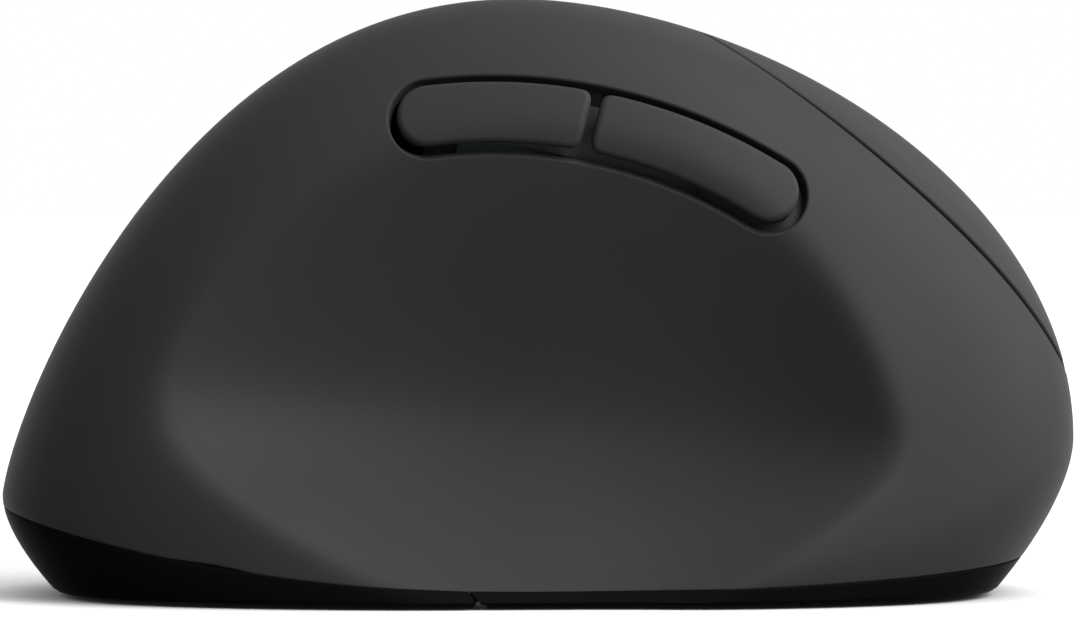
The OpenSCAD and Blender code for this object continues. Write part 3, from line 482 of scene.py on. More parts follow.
finish = {name: mouldedFinish(name, look) for name, look in finishLooks.items()}
slotFinish = {
    "shell": "shellPlastic", "base": "basePlastic", "trim": "stripPlastic", "foot": "footPad",
    "tyre": "tyreRubber", "frame": "framePlastic", "steel": "platedSteel", "contact": "contactSheet",
    "board": "boardMask", "chip": "chipPackage", "nub": "nubPlastic", "lens": "lensClear", "lamp": "lampTint",
    "cell": "cellWrap", "ribbon": "ribbonFilm",
}
for part in frame["record"]["subparts"]:
    node = nodes[part["node"]]
    node.data.materials.clear()
    node.data.materials.append(finish[slotFinish[part["material_slot"]]])
print("finishes:", len(finish))

# the sloped finger side: x forward, d down the slope, o outward
fingerSide = {
    "tilt": 48, "stripTurn": 7.86, "wheel": (36, -20), "stripHalf": 5.5, "stripBack": 36,
    "stripFloor": 13.75, "stripSoft": 3.0, "keyFloor": 10.3, "keyLift": 0.4,
    "leafDown": -24, "leafHalf": 14, "leafCorner": 1.2,
    "middle": (27, -12), "middleHalf": (29, 17), "seamTurn": (7.7, 69.2), "seamDepth": 4.1, "seamGap": 0.32,
    "roomFrom": 16, "roomRun": 38,  # the key's pressing room at its thumb-side seam grows forward from here
    "edge": 0.3, "inset": 0.25,
}
tilt = math.radians(fingerSide["tilt"])
stripTurn = math.radians(fingerSide["stripTurn"])
outside = 9.0  # a field's value well off its zone


def rotated(x, y, w):
    return x * math.cos(w) - y * math.sin(w), x * math.sin(w) + y * math.cos(w)


def toSlope(p):
    return p[..., 0], *rotated(p[..., 1] - midY, p[..., 2], tilt)


def fromSlope(q):
    y, z = rotated(q[..., 1], q[..., 2], -tilt)
    return np.stack([q[..., 0], y + midY, z], -1)


def fromStrip(q):  # along the strip, across it, outward
    wx, wd = fingerSide["wheel"]
    x, d = rotated(q[..., 0], q[..., 1], stripTurn)
    return fromSlope(np.stack([wx + x, wd + d, q[..., 2]], -1))


def toStrip(p):
    wx, wd = fingerSide["wheel"]
    x, d, o = toSlope(p)
    return *rotated(x - wx, d - wd, -stripTurn), o


def ellipseField(x, y, centre, half):
    k0 = np.maximum(1e-6, np.hypot((x - centre[0]) / half[0], (y - centre[1]) / half[1]))
    k1 = np.maximum(1e-6, np.hypot((x - centre[0]) / half[0] ** 2, (y - centre[1]) / half[1] ** 2))
    return k0 * (k0 - 1) / k1


def boxField(x, y, half, corner):
    qx, qy = abs(x) - half[0] + corner, abs(y) - half[1] + corner
    return np.hypot(np.maximum(qx, 0), np.maximum(qy, 0)) + np.minimum(np.maximum(qx, qy), 0) - corner


def nearestSegment(p, starts, ends):  # distance to the nearest of many segments, and which one it is
    best, which = np.empty(len(p)), np.empty(len(p), int)
    d = ends - starts
    dd = np.maximum(1e-12, (d * d).sum(1))
    for k in range(0, len(p), 1500):
        w = p[k:k + 1500, None, :] - starts[None]
        gap = w - np.clip((w * d).sum(2) / dd, 0, 1)[..., None] * d
        far = np.sqrt((gap * gap).sum(2))
        best[k:k + 1500], which[k:k + 1500] = far.min(1), far.argmin(1)
    return best, which


# thumb-side seam of the index key: the crest curve drawn in
def seamPoints(t):
    first, last = fingerSide["seamTurn"]
    f = np.radians(first + (last - first) * t)
    d = fingerSide["seamDepth"] * np.sin(np.pi * t) - fingerSide["inset"]
    w = bodyForm["waist"][0]
    x = crestX + (halfL - crestX - d) * power(np.cos(f), 2 / bodyForm["powAcross"][0])
    z = w + (height - w - d) * power(np.sin(f), 2 / bodyForm["powUp"][0])
    return np.stack([x, z], -1)


seamLine = seamPoints(np.linspace(0, 1, 160))
leafTop = seamPoints(np.array(1.0)) - [fingerSide["inset"], 0]


def seamField(x, z, lift=0.0):  # below zero on the key's side
    q = np.stack([x.ravel(), z.ravel()], -1)
    dist, i = nearestSegment(q, seamLine[:-1], seamLine[1:])
    d, w = (seamLine[1:] - seamLine[:-1])[i], q - seamLine[i]
    side = np.where(d[:, 0] * w[:, 1] - d[:, 1] * w[:, 0] > 0, 1, -1)
    room = lift / 2 * ease((x - fingerSide["roomFrom"]) / fingerSide["roomRun"])
    return np.maximum((side * dist).reshape(x.shape) + room, seamLine[0, 1] + 1.5 * lift - z)


def indexZone(p, lift=0.0):
    x, d, o = toSlope(p)
    across = toStrip(p)[1]
    s = fingerSide
    top = (crestLine(leafTop[0]) - midY) * math.cos(tilt) - leafTop[1] * math.sin(tilt)
    half = (s["leafHalf"] - s["inset"], s["leafDown"] - top - s["inset"])
    leaf = ellipseField(x, d, (leafTop[0], s["leafDown"]), half)
    leaf = np.where(x > leafTop[0], np.minimum(leaf, leafTop[0] + s["inset"] - x), leaf)
    leaf = softMax(leaf, across + s["stripHalf"], s["leafCorner"])
    finger = np.maximum(leaf, s["keyFloor"] + lift - o)
    thumb = seamField(p[..., 0], p[..., 2], lift)
    front = p[..., 0] > crestX
    return np.where(front & (p[..., 1] > crestLine(p[..., 0])), finger, np.where(front, thumb, outside))


def middleZone(p, lift=0.0):
    x, d, o = toSlope(p)
    across = toStrip(p)[1]
    s = fingerSide
    half = (s["middleHalf"][0] - s["inset"], s["middleHalf"][1] - s["inset"])
    zone = softMax(ellipseField(x, d, s["middle"], half), s["stripHalf"] - across, s["leafCorner"])
    return np.maximum(zone, s["keyFloor"] + lift - o)


def stripZone(p):
    along, across, o = toStrip(p)
    s = fingerSide
    end = np.hypot(along + s["stripBack"], across)
    zone = np.where(along < -s["stripBack"], end, abs(across)) - s["stripHalf"]
    return softMax(zone, s["stripFloor"] - o, s["stripSoft"])


def allKeys(p):
    return np.minimum(np.minimum(indexZone(p), middleZone(p)), stripZone(p))


def onSurface(zone, patch):  # true distance along the skin from a zone's edge, below zero inside
    inner = cutPatch(patch, lambda p: -zone(p))
    p = skin(inner[0], inner[1])
    line = []
    for loop in edgeLoops(inner[2]):
        q = p[loop]
        line.append(np.stack([q, np.roll(q, -1, axis=0)], 1))
    line = np.concatenate(line)
    margin, nearBy = 4, 6
    low, high = line.min((0, 1)) - margin, line.max((0, 1)) + margin

    def field(points):
        rough = zone(points)
        near = (abs(rough) < nearBy) & ((points > low) & (points < high)).all(1)
        result = rough.copy()
        result[near] = np.sign(rough[near]) * nearestSegment(points[near], line[:, 0], line[:, 1])[0]
        return result
    return field


# turns: closer on the thumb side; rows: from the parting line to the crest
def spread(marks, counts):
    runs = zip(marks[:-1], marks[1:], counts)
    return np.concatenate([np.linspace(start, end, count, endpoint=False) for start, end, count in runs])


def openPatch(turns, rows):  # level rows between two turns
    return gridPatch(np.linspace(*turns), np.linspace(*rows), lambda a, u: np.full(len(a), u), closed=False)


shellGrid = {"turnMarks": (180, 345, 375, 540), "turnCounts": (190, 40, 112), "rows": 132}
shellTurns = spread(shellGrid["turnMarks"], shellGrid["turnCounts"])
shellRows = np.linspace(0, 1, shellGrid["rows"], endpoint=False)
shellPatch = gridPatch(shellTurns, shellRows, lambda a, u: partV(a) + (1 - partV(a)) * u, pole=True)
keyPatch = openPatch((-62, 122, 300), (0.0, 0.985, 190))  # first, last and count
print("skin grids ready")

# side buttons lie on an arc about a point of the thumb side
sideArc = {
    "x": -5.1, "z": -3.5, "radius": 57.2, "from": -7, "split": 10.9, "to": 32, "slotHalf": 4.2, "thumbY": -14,
    "capHalf": 3.42, "capShift": 0.4, "capGap": 0.5, "capLean": 3.0, "capEnd": 0.2, "capCorner": 0.3,
    "raise": 0.45, "edge": 0.75, "depth": 2.4,
    "tongueFrom": 25, "tongueHalf": 5.0, "tongueDeep": 1.9, "tongueWall": 0.5, "tongueEdge": 0.15,
}


def arcBand(p, start, end, radius, half):  # a band along the arc with round ends
    x, z = p[..., 0] - sideArc["x"], p[..., 2] - sideArc["z"]
    turn = np.degrees(np.arctan2(x, z))
    r = np.hypot(x, z)
    band = abs(r - radius) - half
    low, high = math.radians(start), math.radians(end)
    capLow = np.hypot(x - radius * math.sin(low), z - radius * math.cos(low)) - half
    capHigh = np.hypot(x - radius * math.sin(high), z - radius * math.cos(high)) - half
    return np.where(turn > end, capHigh, np.where(turn < start, capLow, band))


def onThumbSide(p, zone):
    return np.where(p[..., 1] < sideArc["thumbY"], zone, outside)


def slotZone(p):
    s = sideArc
    return onThumbSide(p, arcBand(p, s["from"], s["to"], s["radius"], s["slotHalf"]))


seamClear = fingerSide["seamGap"] / 2 + fingerSide["edge"]
unionEdge = onSurface(allKeys, keyPatch)
indexEdge = onSurface(lambda p: indexZone(p, fingerSide["keyLift"]), keyPatch)
middleEdge = onSurface(lambda p: middleZone(p, fingerSide["keyLift"]), keyPatch)
stripEdge = onSurface(stripZone, keyPatch)
print("seams traced")

# upper shell with its screw posts
shellTrim = {"slotEdge": 0.45, "postRadius": 3, "posts": ((0, 7.2, 16), (58, 7, 12), (91.5, 7, 12)),
             "ledgePost": (-2.1, -24, 9.6), "postFoot": 2.7}


def shellField(p):
    return np.minimum(unionEdge(p) - seamClear, slotZone(p) - shellTrim["slotEdge"])


def postPlace(q):
    p = skin(q[0], partV(np.array(q[0])))
    n = skinNormal(q[0], partV(np.array(q[0]))) * [1, 1, 0]
    return (*(p - q[1] * unit(n))[:2], q[2])


shell = walledPiece(cutPatch(shellPatch, shellField), fingerSide["edge"], bodyForm["wall"])
postSpots = [postPlace(q) for q in shellTrim["posts"]] + [shellTrim["ledgePost"]]
posts = [peg(shellTrim["postRadius"], shellTrim["postFoot"], top, shifted(x, y)) for x, y, top in postSpots]
addPiece("upperShell", joined(shell, *posts), finish["shellPlastic"], "case", "shell", "upper_shell")

# main keys, each with its pivot barrel and its stem over the switch
keyParts = {"wall": 1.6, "hingeX": 14, "hingeOut": 33, "barrel": 2.2,
            "webHalf": 1.5, "webIn": 0.2, "webSink": 1, "stemX": 40, "stemHalf": (2, 1.5), "stemFoot": 19.6,
            "index": {"barrel": (-37.2, -32.8), "stem": -34, "roof": 39.7, "stemTop": 32.4},
            "middle": {"barrel": (-15, -4.5), "stem": -7, "roof": 41.2, "stemTop": 34}}


def keyWorks(which):
    q, k = keyParts, keyParts[which]
    hx, ho = q["hingeX"], q["hingeOut"]
    first, last = k["barrel"]
    barrel = peg(q["barrel"], first, last,
                 lambda v: fromSlope(np.stack([hx + v[:, 1], v[:, 2], ho + v[:, 0]], -1)))
    web = bar((hx - q["webHalf"], first + q["webIn"], ho + q["webSink"]),
              (hx + q["webHalf"], last - q["webIn"], k["roof"]), fromSlope)
    sx, sd = q["stemHalf"]
    stem = bar((q["stemX"] - sx, k["stem"] - sd, q["stemFoot"]),
               (q["stemX"] + sx, k["stem"] + sd, k["stemTop"]), fromSlope)
    return barrel, web, stem


for which, edgeField in (("index", indexEdge), ("middle", middleEdge)):
    patch = cutPatch(keyPatch, lambda p: -edgeField(p) - seamClear)
    key = joined(walledPiece(patch, fingerSide["edge"], keyParts["wall"]), *keyWorks(which))
    addPiece(which + "Key", key, finish["keyPlastic"], which + "_key", "shell", which + "_key")

# strip between the keys, with openings for the wheel and the resolution button
stripTrim = {"wheelShift": 0.6, "wheelHalf": (11.6, 3.85), "wheelCorner": 1.6,
             "buttonAlong": -23, "buttonHalf": (4.9, 2.6), "edge": 0.3, "wall": 1.6,
             "legs": ((-31, 11, 37.5), (14.4, 11, 26.4)), "legRadius": 1.8}


def stripField(p):
    along, across, _ = toStrip(p)
    s = stripTrim
    wheelHole = boxField(along - s["wheelShift"], across, s["wheelHalf"], s["wheelCorner"])
    buttonHole = boxField(along - s["buttonAlong"], across, s["buttonHalf"], s["buttonHalf"][1])
    kept = -stripEdge(p) - seamClear
    return np.minimum(kept, np.minimum(wheelHole, buttonHole) - s["edge"])


strip = walledPiece(cutPatch(keyPatch, stripField), stripTrim["edge"], stripTrim["wall"])
legs = [peg(stripTrim["legRadius"], low, high, lambda v, s=s: fromStrip(v + [s, 0, 0]))
        for s, low, high in stripTrim["legs"]]
addPiece("wheelStrip", joined(strip, *legs), finish["stripPlastic"], "case", "trim", "wheel_strip")

# side button caps follow the shell's own skin, a little proud of it
capPatch = openPatch((236, 358, 300), (0.25, 0.985, 240))
capStems = {"radius": 2, "foot": 19.6, "top": 25.5, "back": 2, "forward": 21.2}


def tongueField(p):  # stop behind the front end of the opening
    s = sideArc
    x, z = p[..., 0] - s["x"], p[..., 2] - s["z"]
    before = s["radius"] * (math.radians(s["tongueFrom"]) - np.arctan2(x, z))
    zone = np.maximum(arcBand(p, s["from"], s["to"], s["radius"], s["tongueHalf"]), before)
    return -onThumbSide(p, zone)


def capField(which):
    s = sideArc

    def field(p):
        band = arcBand(p, s["from"], s["to"] - s["capEnd"], s["radius"] + s["capShift"], s["capHalf"])
        at, lean = math.radians(s["split"]), math.radians(s["split"] + s["capLean"])
        x = p[..., 0] - s["x"] - s["radius"] * math.sin(at)
        z = p[..., 2] - s["z"] - s["radius"] * math.cos(at)
        across = x * math.cos(lean) - z * math.sin(lean)
        side = across if which == "back" else -across
        zone = softMax(band, side + s["capGap"], s["capCorner"])
        return -onThumbSide(p, zone + s["edge"])
    return field


for which in ("back", "forward"):
    s = sideArc
    cap = walledPiece(cutPatch(capPatch, capField(which)), s["edge"], s["depth"], s["raise"])
    at = math.radians(capStems[which])
    r = s["radius"] + s["capShift"]
    sx, sz = s["x"] + r * math.sin(at), s["z"] + r * math.cos(at)
    stem = peg(capStems["radius"], capStems["foot"], capStems["top"],
               lambda v: np.stack([sx + v[:, 0], midY - v[:, 2], sz + v[:, 1]], -1))
    solids = [cap, stem]
    if which == "forward":
        tongue = cutPatch(capPatch, tongueField)
        solids.append(walledPiece(tongue, s["tongueEdge"], s["tongueWall"], -s["tongueDeep"]))
    node = which + "_button"
    addPiece(which + "Button", joined(*solids), finish["capPlastic"], node, "shell", node)

# lower tray: tucked sides, a lip under the shell and a floor with its openings
tray = {
    "floorTop": 2.6, "coverTop": 1.9, "lip": 2.3, "topEdge": 0.22, "lowEdge": 0.35, "turns": 300, "rows": 16,
    "splitX": -6.6, "splitGap": 0.3, "sharp": 38,
    "window": (18, -11, 4.5, 3.5), "slide": (31, -14, 4.6, 2.3), "holeRound": 0.5,
    "pocket": ((4.75, 16.55), (16.25, 16.55), (16.25, 15.3), (23.25, 15.3), (23.25, 30.3), (16.25, 30.3),
               (16.25, 29.05), (4.75, 29.05)),
    "headRadius": 2.2, "chassisFeet": ((8, 8.5), (42, 8.5)),
    "standoff": 2, "standoffEase": 0.15, "rise": (2.1, 4.6),
    "standoffs": ((-2, -18), (23.5, -18.2), (-2, -5), (35, -5)),
    "pocketWalls": (((3, 14, 2.1), (4.6, 31.6, 9)), ((23.4, 14, 2.1), (25, 31.6, 9)),
                    ((4, 14, 2.1), (24, 15.2, 9)), ((4, 30.4, 2.1), (24, 31.6, 9)),
                    ((4, 15, 2.1), (16.1, 16.45, 8)), ((4, 29.15, 2.1), (16.1, 30.6, 8)),
                    ((3.3, 14.3, 7.8), (24.7, 31.3, 9))),
}


def ringPoints(a, v, inward, shift):  # a ring of the skin moved in along the level normal and up or down
    n = skinNormal(a, v) * [1, 1, 0]
    return skin(a, v) - inward * unit(n) + np.array([0, 0, shift])


def holeLoop(hole):
    if len(hole) > 4:
        return np.array(hole)
    if len(hole) == 3:
        w = np.radians(np.arange(0, 360, 10))
        return np.stack([hole[0] + hole[2] * np.cos(w), hole[1] + hole[2] * np.sin(w)], 1)
    x, y, hx, hy = hole
    return roundedBox((x - hx, y - hy), (x + hx, y + hy), tray["holeRound"], tray["holeRound"], 3)


def flatWithHoles(outer, holes):
    points = np.concatenate([outer] + holes)
    edges, start = [], 0
    for loop in [outer] + holes:
        edges += [(start + k, start + (k + 1) % len(loop)) for k in range(len(loop))]
        start += len(loop)
    made = geometry.delaunay_2d_cdt([Vector(p) for p in points], edges, [], 0, 1e-7)
    verts = np.array([tuple(p) for p in made[0]])
    tris = np.array([f for f in made[2] if len(f) == 3])
    centre = verts[tris].mean(1)
    keep = insideLoop(centre, outer)
    for hole in holes:
        keep &= ~insideLoop(centre, hole)
    back = np.array([m[0] for m in made[3]])  # the given corner each result corner came from
    return points, back[tris[keep]]


def insideLoop(p, loop):
    a, b = loop, np.roll(loop, -1, axis=0)
    y0, y1 = a[None, :, 1], b[None, :, 1]
    spans = (y0 > p[:, None, 1]) != (y1 > p[:, None, 1])
    x = a[None, :, 0] + (p[:, None, 1] - y0) / np.where(y1 == y0, 1e-12, y1 - y0) * (b - a)[None, :, 0]
    return (spans & (p[:, None, 0] < x)).sum(1) % 2 == 1


def trayMesh(floorTop, holes):
    t = tray
    a = 180 + np.arange(t["turns"]) * 360 / t["turns"]
    top = partV(a, bodyForm["partGap"])
    waist = waistZ(*cosSin(a))
    foot0 = np.full(len(a), -1.0)
    low, high = foot0 + t["lowEdge"] / (waist - foot), top - t["topEdge"] / (waist - foot)
    quarter = np.radians(90 * np.arange(5) / 4)
    rings = [ringPoints(a, foot0, t["lowEdge"] * (1 - math.sin(w)), t["lowEdge"] * (1 - math.cos(w)))
             for w in quarter[:-1]]
    rings += [skin(a, low + (high - low) * u) for u in np.linspace(0, 1, t["rows"])]
    rings += [ringPoints(a, high, t["topEdge"] * (1 - math.cos(w)), t["topEdge"] * math.sin(w))
              for w in quarter[1:]]
    rings.append(ringPoints(a, high, t["lip"], t["topEdge"]))
    last = ringPoints(a, -(waist - floorTop) / (waist - foot), t["lip"], 0)
    last[:, 2] = floorTop
    rings.append(last)
    n = len(a)
    verts = [np.concatenate(rings)]
    faces = stacked(n, len(rings))
    count = len(rings) * n
    loops = [holeLoop(h) for h in holes]
    sizes = [len(l) for l in loops]
    lowPoints, lowTris = flatWithHoles(rings[0][:, :2], loops)
    topPoints, topTris = flatWithHoles(rings[-1][:, :2], loops)
    holeCount = sum(sizes)
    for z in (foot, floorTop):
        if holeCount:
            flat = np.concatenate(loops)
            verts.append(np.column_stack([flat, np.full(len(flat), z)]))
    k, inHoles = np.arange(n), count + np.arange(holeCount)
    lowIndex = np.concatenate([k, inHoles]).astype(int)
    topIndex = np.concatenate([(len(rings) - 1) * n + k, inHoles + holeCount]).astype(int)
    faces.append(facing(lowPoints, lowTris, lowIndex, down=True))
    faces.append(facing(topPoints, topTris, topIndex, down=False))
    start = count
    for size in sizes:
        k = start + np.arange(size)
        faces.append(bridge(k + holeCount, k)[:, ::-1])
        start += size
    return np.concatenate(verts), np.concatenate(faces)


def facing(points, tris, index, down):
    first, second = points[tris[:, 1]] - points[tris[:, 0]], points[tris[:, 2]] - points[tris[:, 0]]
    area = first[:, 0] * second[:, 1] - first[:, 1] * second[:, 0]
    turn = (area > 0) == down
    return index[np.where(turn[:, None], tris[:, ::-1], tris)]


coverSeam = {"reach": 4, "edgeFrom": -24, "edgeRun": 6, "lean": 1.0, "leanFrom": 0.9, "leanRun": 1.3,
             "notch": 0.32, "notchTop": 1.35, "notchRun": 0.75, "notchFrom": 0.15, "notchOut": 0.5}


def seamWarp(verts):  # the cover's seam leans at the thumb edge and opens into a small notch at the foot
    q = coverSeam
    x, y, z = verts.T
    off = abs(x - tray["splitX"])
    atEdge = ease((q["edgeFrom"] - y) / q["edgeRun"])
    rise = np.clip((z - q["leanFrom"]) / q["leanRun"], 0, 1)
    lean = -q["lean"] * rise * ease(1 - off / q["reach"]) * atEdge
    opening = ease((q["notchTop"] - z) / q["notchRun"]) * ease(1 - (off - q["notchFrom"]) / q["notchOut"])
    notch = np.sign(x - tray["splitX"]) * q["notch"] * opening * atEdge
    return np.stack([x + lean + notch, y, z], 1)


def trayHalf(name, floorTop, holes, keepFront, body, node, inside=()):
    verts, faces = trayMesh(floorTop, holes)
    mesh = smoothMesh(name, verts, faces)
    bm = bmesh.new()
    bm.from_mesh(mesh)
    bmesh.ops.remove_doubles(bm, verts=bm.verts, dist=1e-6)
    at = (tray["splitX"] + (1 if keepFront else -1) * tray["splitGap"] / 2) * mm
    bmesh.ops.bisect_plane(bm, geom=bm.verts[:] + bm.edges[:] + bm.faces[:], plane_co=(at, 0, 0),
                           plane_no=(1, 0, 0), dist=1e-7, clear_inner=keepFront, clear_outer=not keepFront)
    rim = [e for e in bm.edges if e.is_boundary]
    bmesh.ops.triangle_fill(bm, use_beauty=True, use_dissolve=False, edges=rim)
    bmesh.ops.recalc_face_normals(bm, faces=bm.faces)
    for solid in inside:
        extra = smoothMesh("trayInside", solid[0], solid[1])
        bm.from_mesh(extra)
        bpy.data.meshes.remove(extra)
    bm.to_mesh(mesh)
    bm.free()
    points = np.array([v.co for v in mesh.vertices]) / mm
    mesh.vertices.foreach_set("co", (seamWarp(points) * mm).ravel())
    mesh.polygons.foreach_set("use_smooth", [True] * len(mesh.polygons))
    mesh.set_sharp_from_angle(angle=math.radians(tray["sharp"]))
    mesh.update()
    mesh.materials.append(finish["basePlastic"])
    settle(name, mesh, body, "base", node)


headSpots = [spot[:2] for spot in postSpots] + list(tray["chassisFeet"])
plateHoles = [(x, y, tray["headRadius"]) for x, y in headSpots]
plateHoles += [tray["window"], tray["slide"], tray["pocket"]]
standoffs = [peg(tray["standoff"], *tray["rise"], shifted(x, y), tray["standoffEase"])
             for x, y in tray["standoffs"]]
pocketWalls = [bar(low, high, shifted(0, 0)) for low, high in tray["pocketWalls"]]
trayHalf("basePlate", tray["floorTop"], plateHoles, True, "case", "base_plate", standoffs + pocketWalls)
trayHalf("batteryCover", tray["coverTop"], [], False, "battery_cover", "battery_cover")
print("tray ready")

# ribbed tyre and screws by geometry nodes

def newTree(name, inputs):
    tree = bpy.data.node_groups.new(name, "GeometryNodeTree")
    for label, kind, value in inputs:
        socket = tree.interface.new_socket(label, in_out="INPUT", socket_type=kind)
        if value is not None:
            socket.default_value = value
    tree.interface.new_socket("Geometry", in_out="OUTPUT", socket_type="NodeSocketGeometry")
    return tree, tree.nodes.new("NodeGroupInput"), tree.nodes.new("NodeGroupOutput")


def grown(name, start, tree, inputs):  # what a tree makes of a start mesh, as a plain mesh
    obj = newObject(name, start)
    modifier = obj.modifiers.new(name, "NODES")
    modifier.node_group = tree
    for item in tree.interface.items_tree:
        if item.item_type == "SOCKET" and item.in_out == "INPUT" and item.name in inputs:
            modifier[item.identifier] = inputs[item.name]
    mesh = bpy.data.meshes.new_from_object(obj.evaluated_get(bpy.context.evaluated_depsgraph_get()))
    mesh.name = name
    bpy.data.objects.remove(obj)
    return mesh


wheelForm = {"centre": (0, 0, 30.3), "radius": 11.5, "width": 6.5, "bore": 9.0, "ribs": 28, "ribDepth": 0.5,
             "grooveShare": 0.14, "crown": 0.5, "crownPower": 4, "ribPower": 6, "sharp": 50}


def stripMatrix(q):  # strip frame as a matrix in metres, with its origin at a point of that frame
    q = np.array(q, float)
    m = np.eye(4)
    m[:3, :3] = (fromStrip(q + np.eye(3)) - fromStrip(q)).T
    m[:3, 3] = fromStrip(q) * mm
    return Matrix(m)


def ribMesh():  # one rib and its groove: a slice of the tyre, crowned across
    w = wheelForm
    t = np.linspace(-0.5, 0.5, 13)[:, None]
    s = np.linspace(-1, 1, 15)[None]
    level = ease((0.5 - abs(t)) / w["grooveShare"])
    r = w["radius"] - w["crown"] * abs(s) ** w["crownPower"]
    r = r - w["ribDepth"] * (1 - level) * (1 - abs(s) ** w["ribPower"])
    r = np.pad(r, ((0, 0), (1, 1)), constant_values=w["bore"])  # down to the bore on both sides
    y = np.pad(s * w["width"] / 2, ((0, 0), (1, 1)), mode="edge") + 0 * r
    angle = t * 2 * math.pi / w["ribs"]
    verts = np.stack([r * np.cos(angle), y, r * np.sin(angle)], -1).reshape(-1, 3)
    n = r.shape[1]
    j, k = np.meshgrid(np.arange(len(t) - 1) * n, np.arange(n), indexing="ij")
    a, b = (j + k).ravel(), (j + (k + 1) % n).ravel()
    return smoothMesh("tyreRib", verts, np.stack([a, b, b + n, a + n], 1))


def ringTree():  # copies of a piece about the Y axis
    tree, start, end = newTree("ringOfRibs", [
        ("Rib", "NodeSocketObject", None), ("Count", "NodeSocketInt", 12),
        ("Material", "NodeSocketMaterial", None)])
    given = start.outputs
    points = addNode(tree, "GeometryNodePoints", {"Count": given["Count"]})
    info = addNode(tree, "GeometryNodeObjectInfo", {"Object": given["Rib"]})
    index = addNode(tree, "GeometryNodeInputIndex")
    share = addNode(tree, "ShaderNodeMath", {0: index, 1: given["Count"]}, operation="DIVIDE")
    angle = addNode(tree, "ShaderNodeMath", {0: share, 1: 2 * math.pi}, operation="MULTIPLY")
    turn = addNode(tree, "ShaderNodeCombineXYZ", {"Y": angle})
    put = addNode(tree, "GeometryNodeInstanceOnPoints",
                  {"Points": points, "Instance": info.outputs["Geometry"], "Rotation": turn})
    real = addNode(tree, "GeometryNodeRealizeInstances", {0: put})
    weld = addNode(tree, "GeometryNodeMergeByDistance", {"Geometry": real, "Distance": 0.00001})
    paint = addNode(tree, "GeometryNodeSetMaterial", {"Geometry": weld, "Material": given["Material"]})
    wire(tree, end, {0: paint})
    return tree


rib = newObject("tyreRib", ribMesh())
tyreMesh = grown("wheelTyre", bpy.data.meshes.new("tyreRing"), ringTree(),
                 {"Rib": rib, "Count": wheelForm["ribs"], "Material": finish["tyreRubber"]})
bpy.data.objects.remove(rib)
tyreMesh.transform(stripMatrix(wheelForm["centre"]))
tyreMesh.set_sharp_from_angle(angle=math.radians(wheelForm["sharp"]))
settle("wheelTyre", tyreMesh, "wheel", "tyre", "wheel_tyre")

# cross-head screws from below
screwForm = {"headRadius": 2.1, "head": 1.2, "rimEase": (0.25, 0.22), "seatEase": 0.1,
             "shank": 0.9, "length": 6, "thread": 0.14, "pitch": 0.35, "threadRise": 0.17, "threadFrom": 0.5,
             "threadEnd": 0.7, "tip": (0.35, 0.5), "cross": 1.3, "crossHalf": 0.28, "crossDeep": 0.7,
             "crossTaper": 0.8, "foot": 0.65, "turnSpread": 3.1, "sharp": 35}


def screwMesh():
    s = screwForm
    w = np.radians(np.arange(0, 360, 7.5))
    radius, root = s["headRadius"], s["shank"] - s["thread"]
    rings = [(radius - s["rimEase"][0], 0), (radius, s["rimEase"][1]), (radius, s["head"] - s["seatEase"]),
             (radius - s["seatEase"], s["head"]), (s["shank"], s["head"])]
    for z in np.arange(s["head"] + s["threadFrom"], s["length"] - s["threadEnd"], s["pitch"]):
        rings += [(root, z), (s["shank"], z + s["threadRise"])]
    rings += [(root, s["length"] - s["tip"][1]), (s["tip"][0], s["length"])]
    arm, half = s["cross"], s["crossHalf"]
    corner = [(arm, half), (half, half), (half, arm)]
    cross = corner + [(-x, y) for x, y in corner[::-1]]
    cross = np.array(cross + [(-x, -y) for x, y in cross])
    n, c = len(w), len(cross)
    verts = [(r * math.cos(t), r * math.sin(t), z) for r, z in rings for t in w]
    tip, base = len(verts), len(verts) + 1
    verts += [(0, 0, s["length"])] + [(x, y, 0) for x, y in cross]
    small = cross * s["crossTaper"]
    verts += [(x, y, s["crossDeep"]) for x, y in small]
    k = np.arange(n)
    faces = stacked(n, len(rings)) + [fan(tip - n + k, tip)]
    corners = base + np.arange(c)
    points, tris = flatWithHoles(np.array(verts)[:n, :2], [cross])
    faces.append(facing(points, tris, np.concatenate([k, corners]), down=True))
    faces.append(bridge(corners + c, corners)[:, ::-1])
    faces.append(facing(*flatWithHoles(small, []), corners + c, down=True))
    return smoothMesh("crossScrew", verts, np.concatenate(faces))


def scatterTree():  # one piece on every point of a mesh
    tree, start, end = newTree("pieceOnPoints", [
        ("Spots", "NodeSocketGeometry", None), ("Piece", "NodeSocketObject", None),
        ("Seed", "NodeSocketInt", 3), ("Turn spread", "NodeSocketFloat", screwForm["turnSpread"]),
        ("Material", "NodeSocketMaterial", None)])
    given = start.outputs
    info = addNode(tree, "GeometryNodeObjectInfo", {"Object": given["Piece"]})
    chance = addNode(tree, "FunctionNodeRandomValue", {3: given["Turn spread"], "Seed": given["Seed"]})
    turn = addNode(tree, "ShaderNodeCombineXYZ", {"Z": chance.outputs[1]})
    put = addNode(tree, "GeometryNodeInstanceOnPoints",
                  {"Points": given["Spots"], "Instance": info.outputs["Geometry"], "Rotation": turn})
    real = addNode(tree, "GeometryNodeRealizeInstances", {0: put})
    paint = addNode(tree, "GeometryNodeSetMaterial", {"Geometry": real, "Material": given["Material"]})
    wire(tree, end, {0: paint})
    return tree


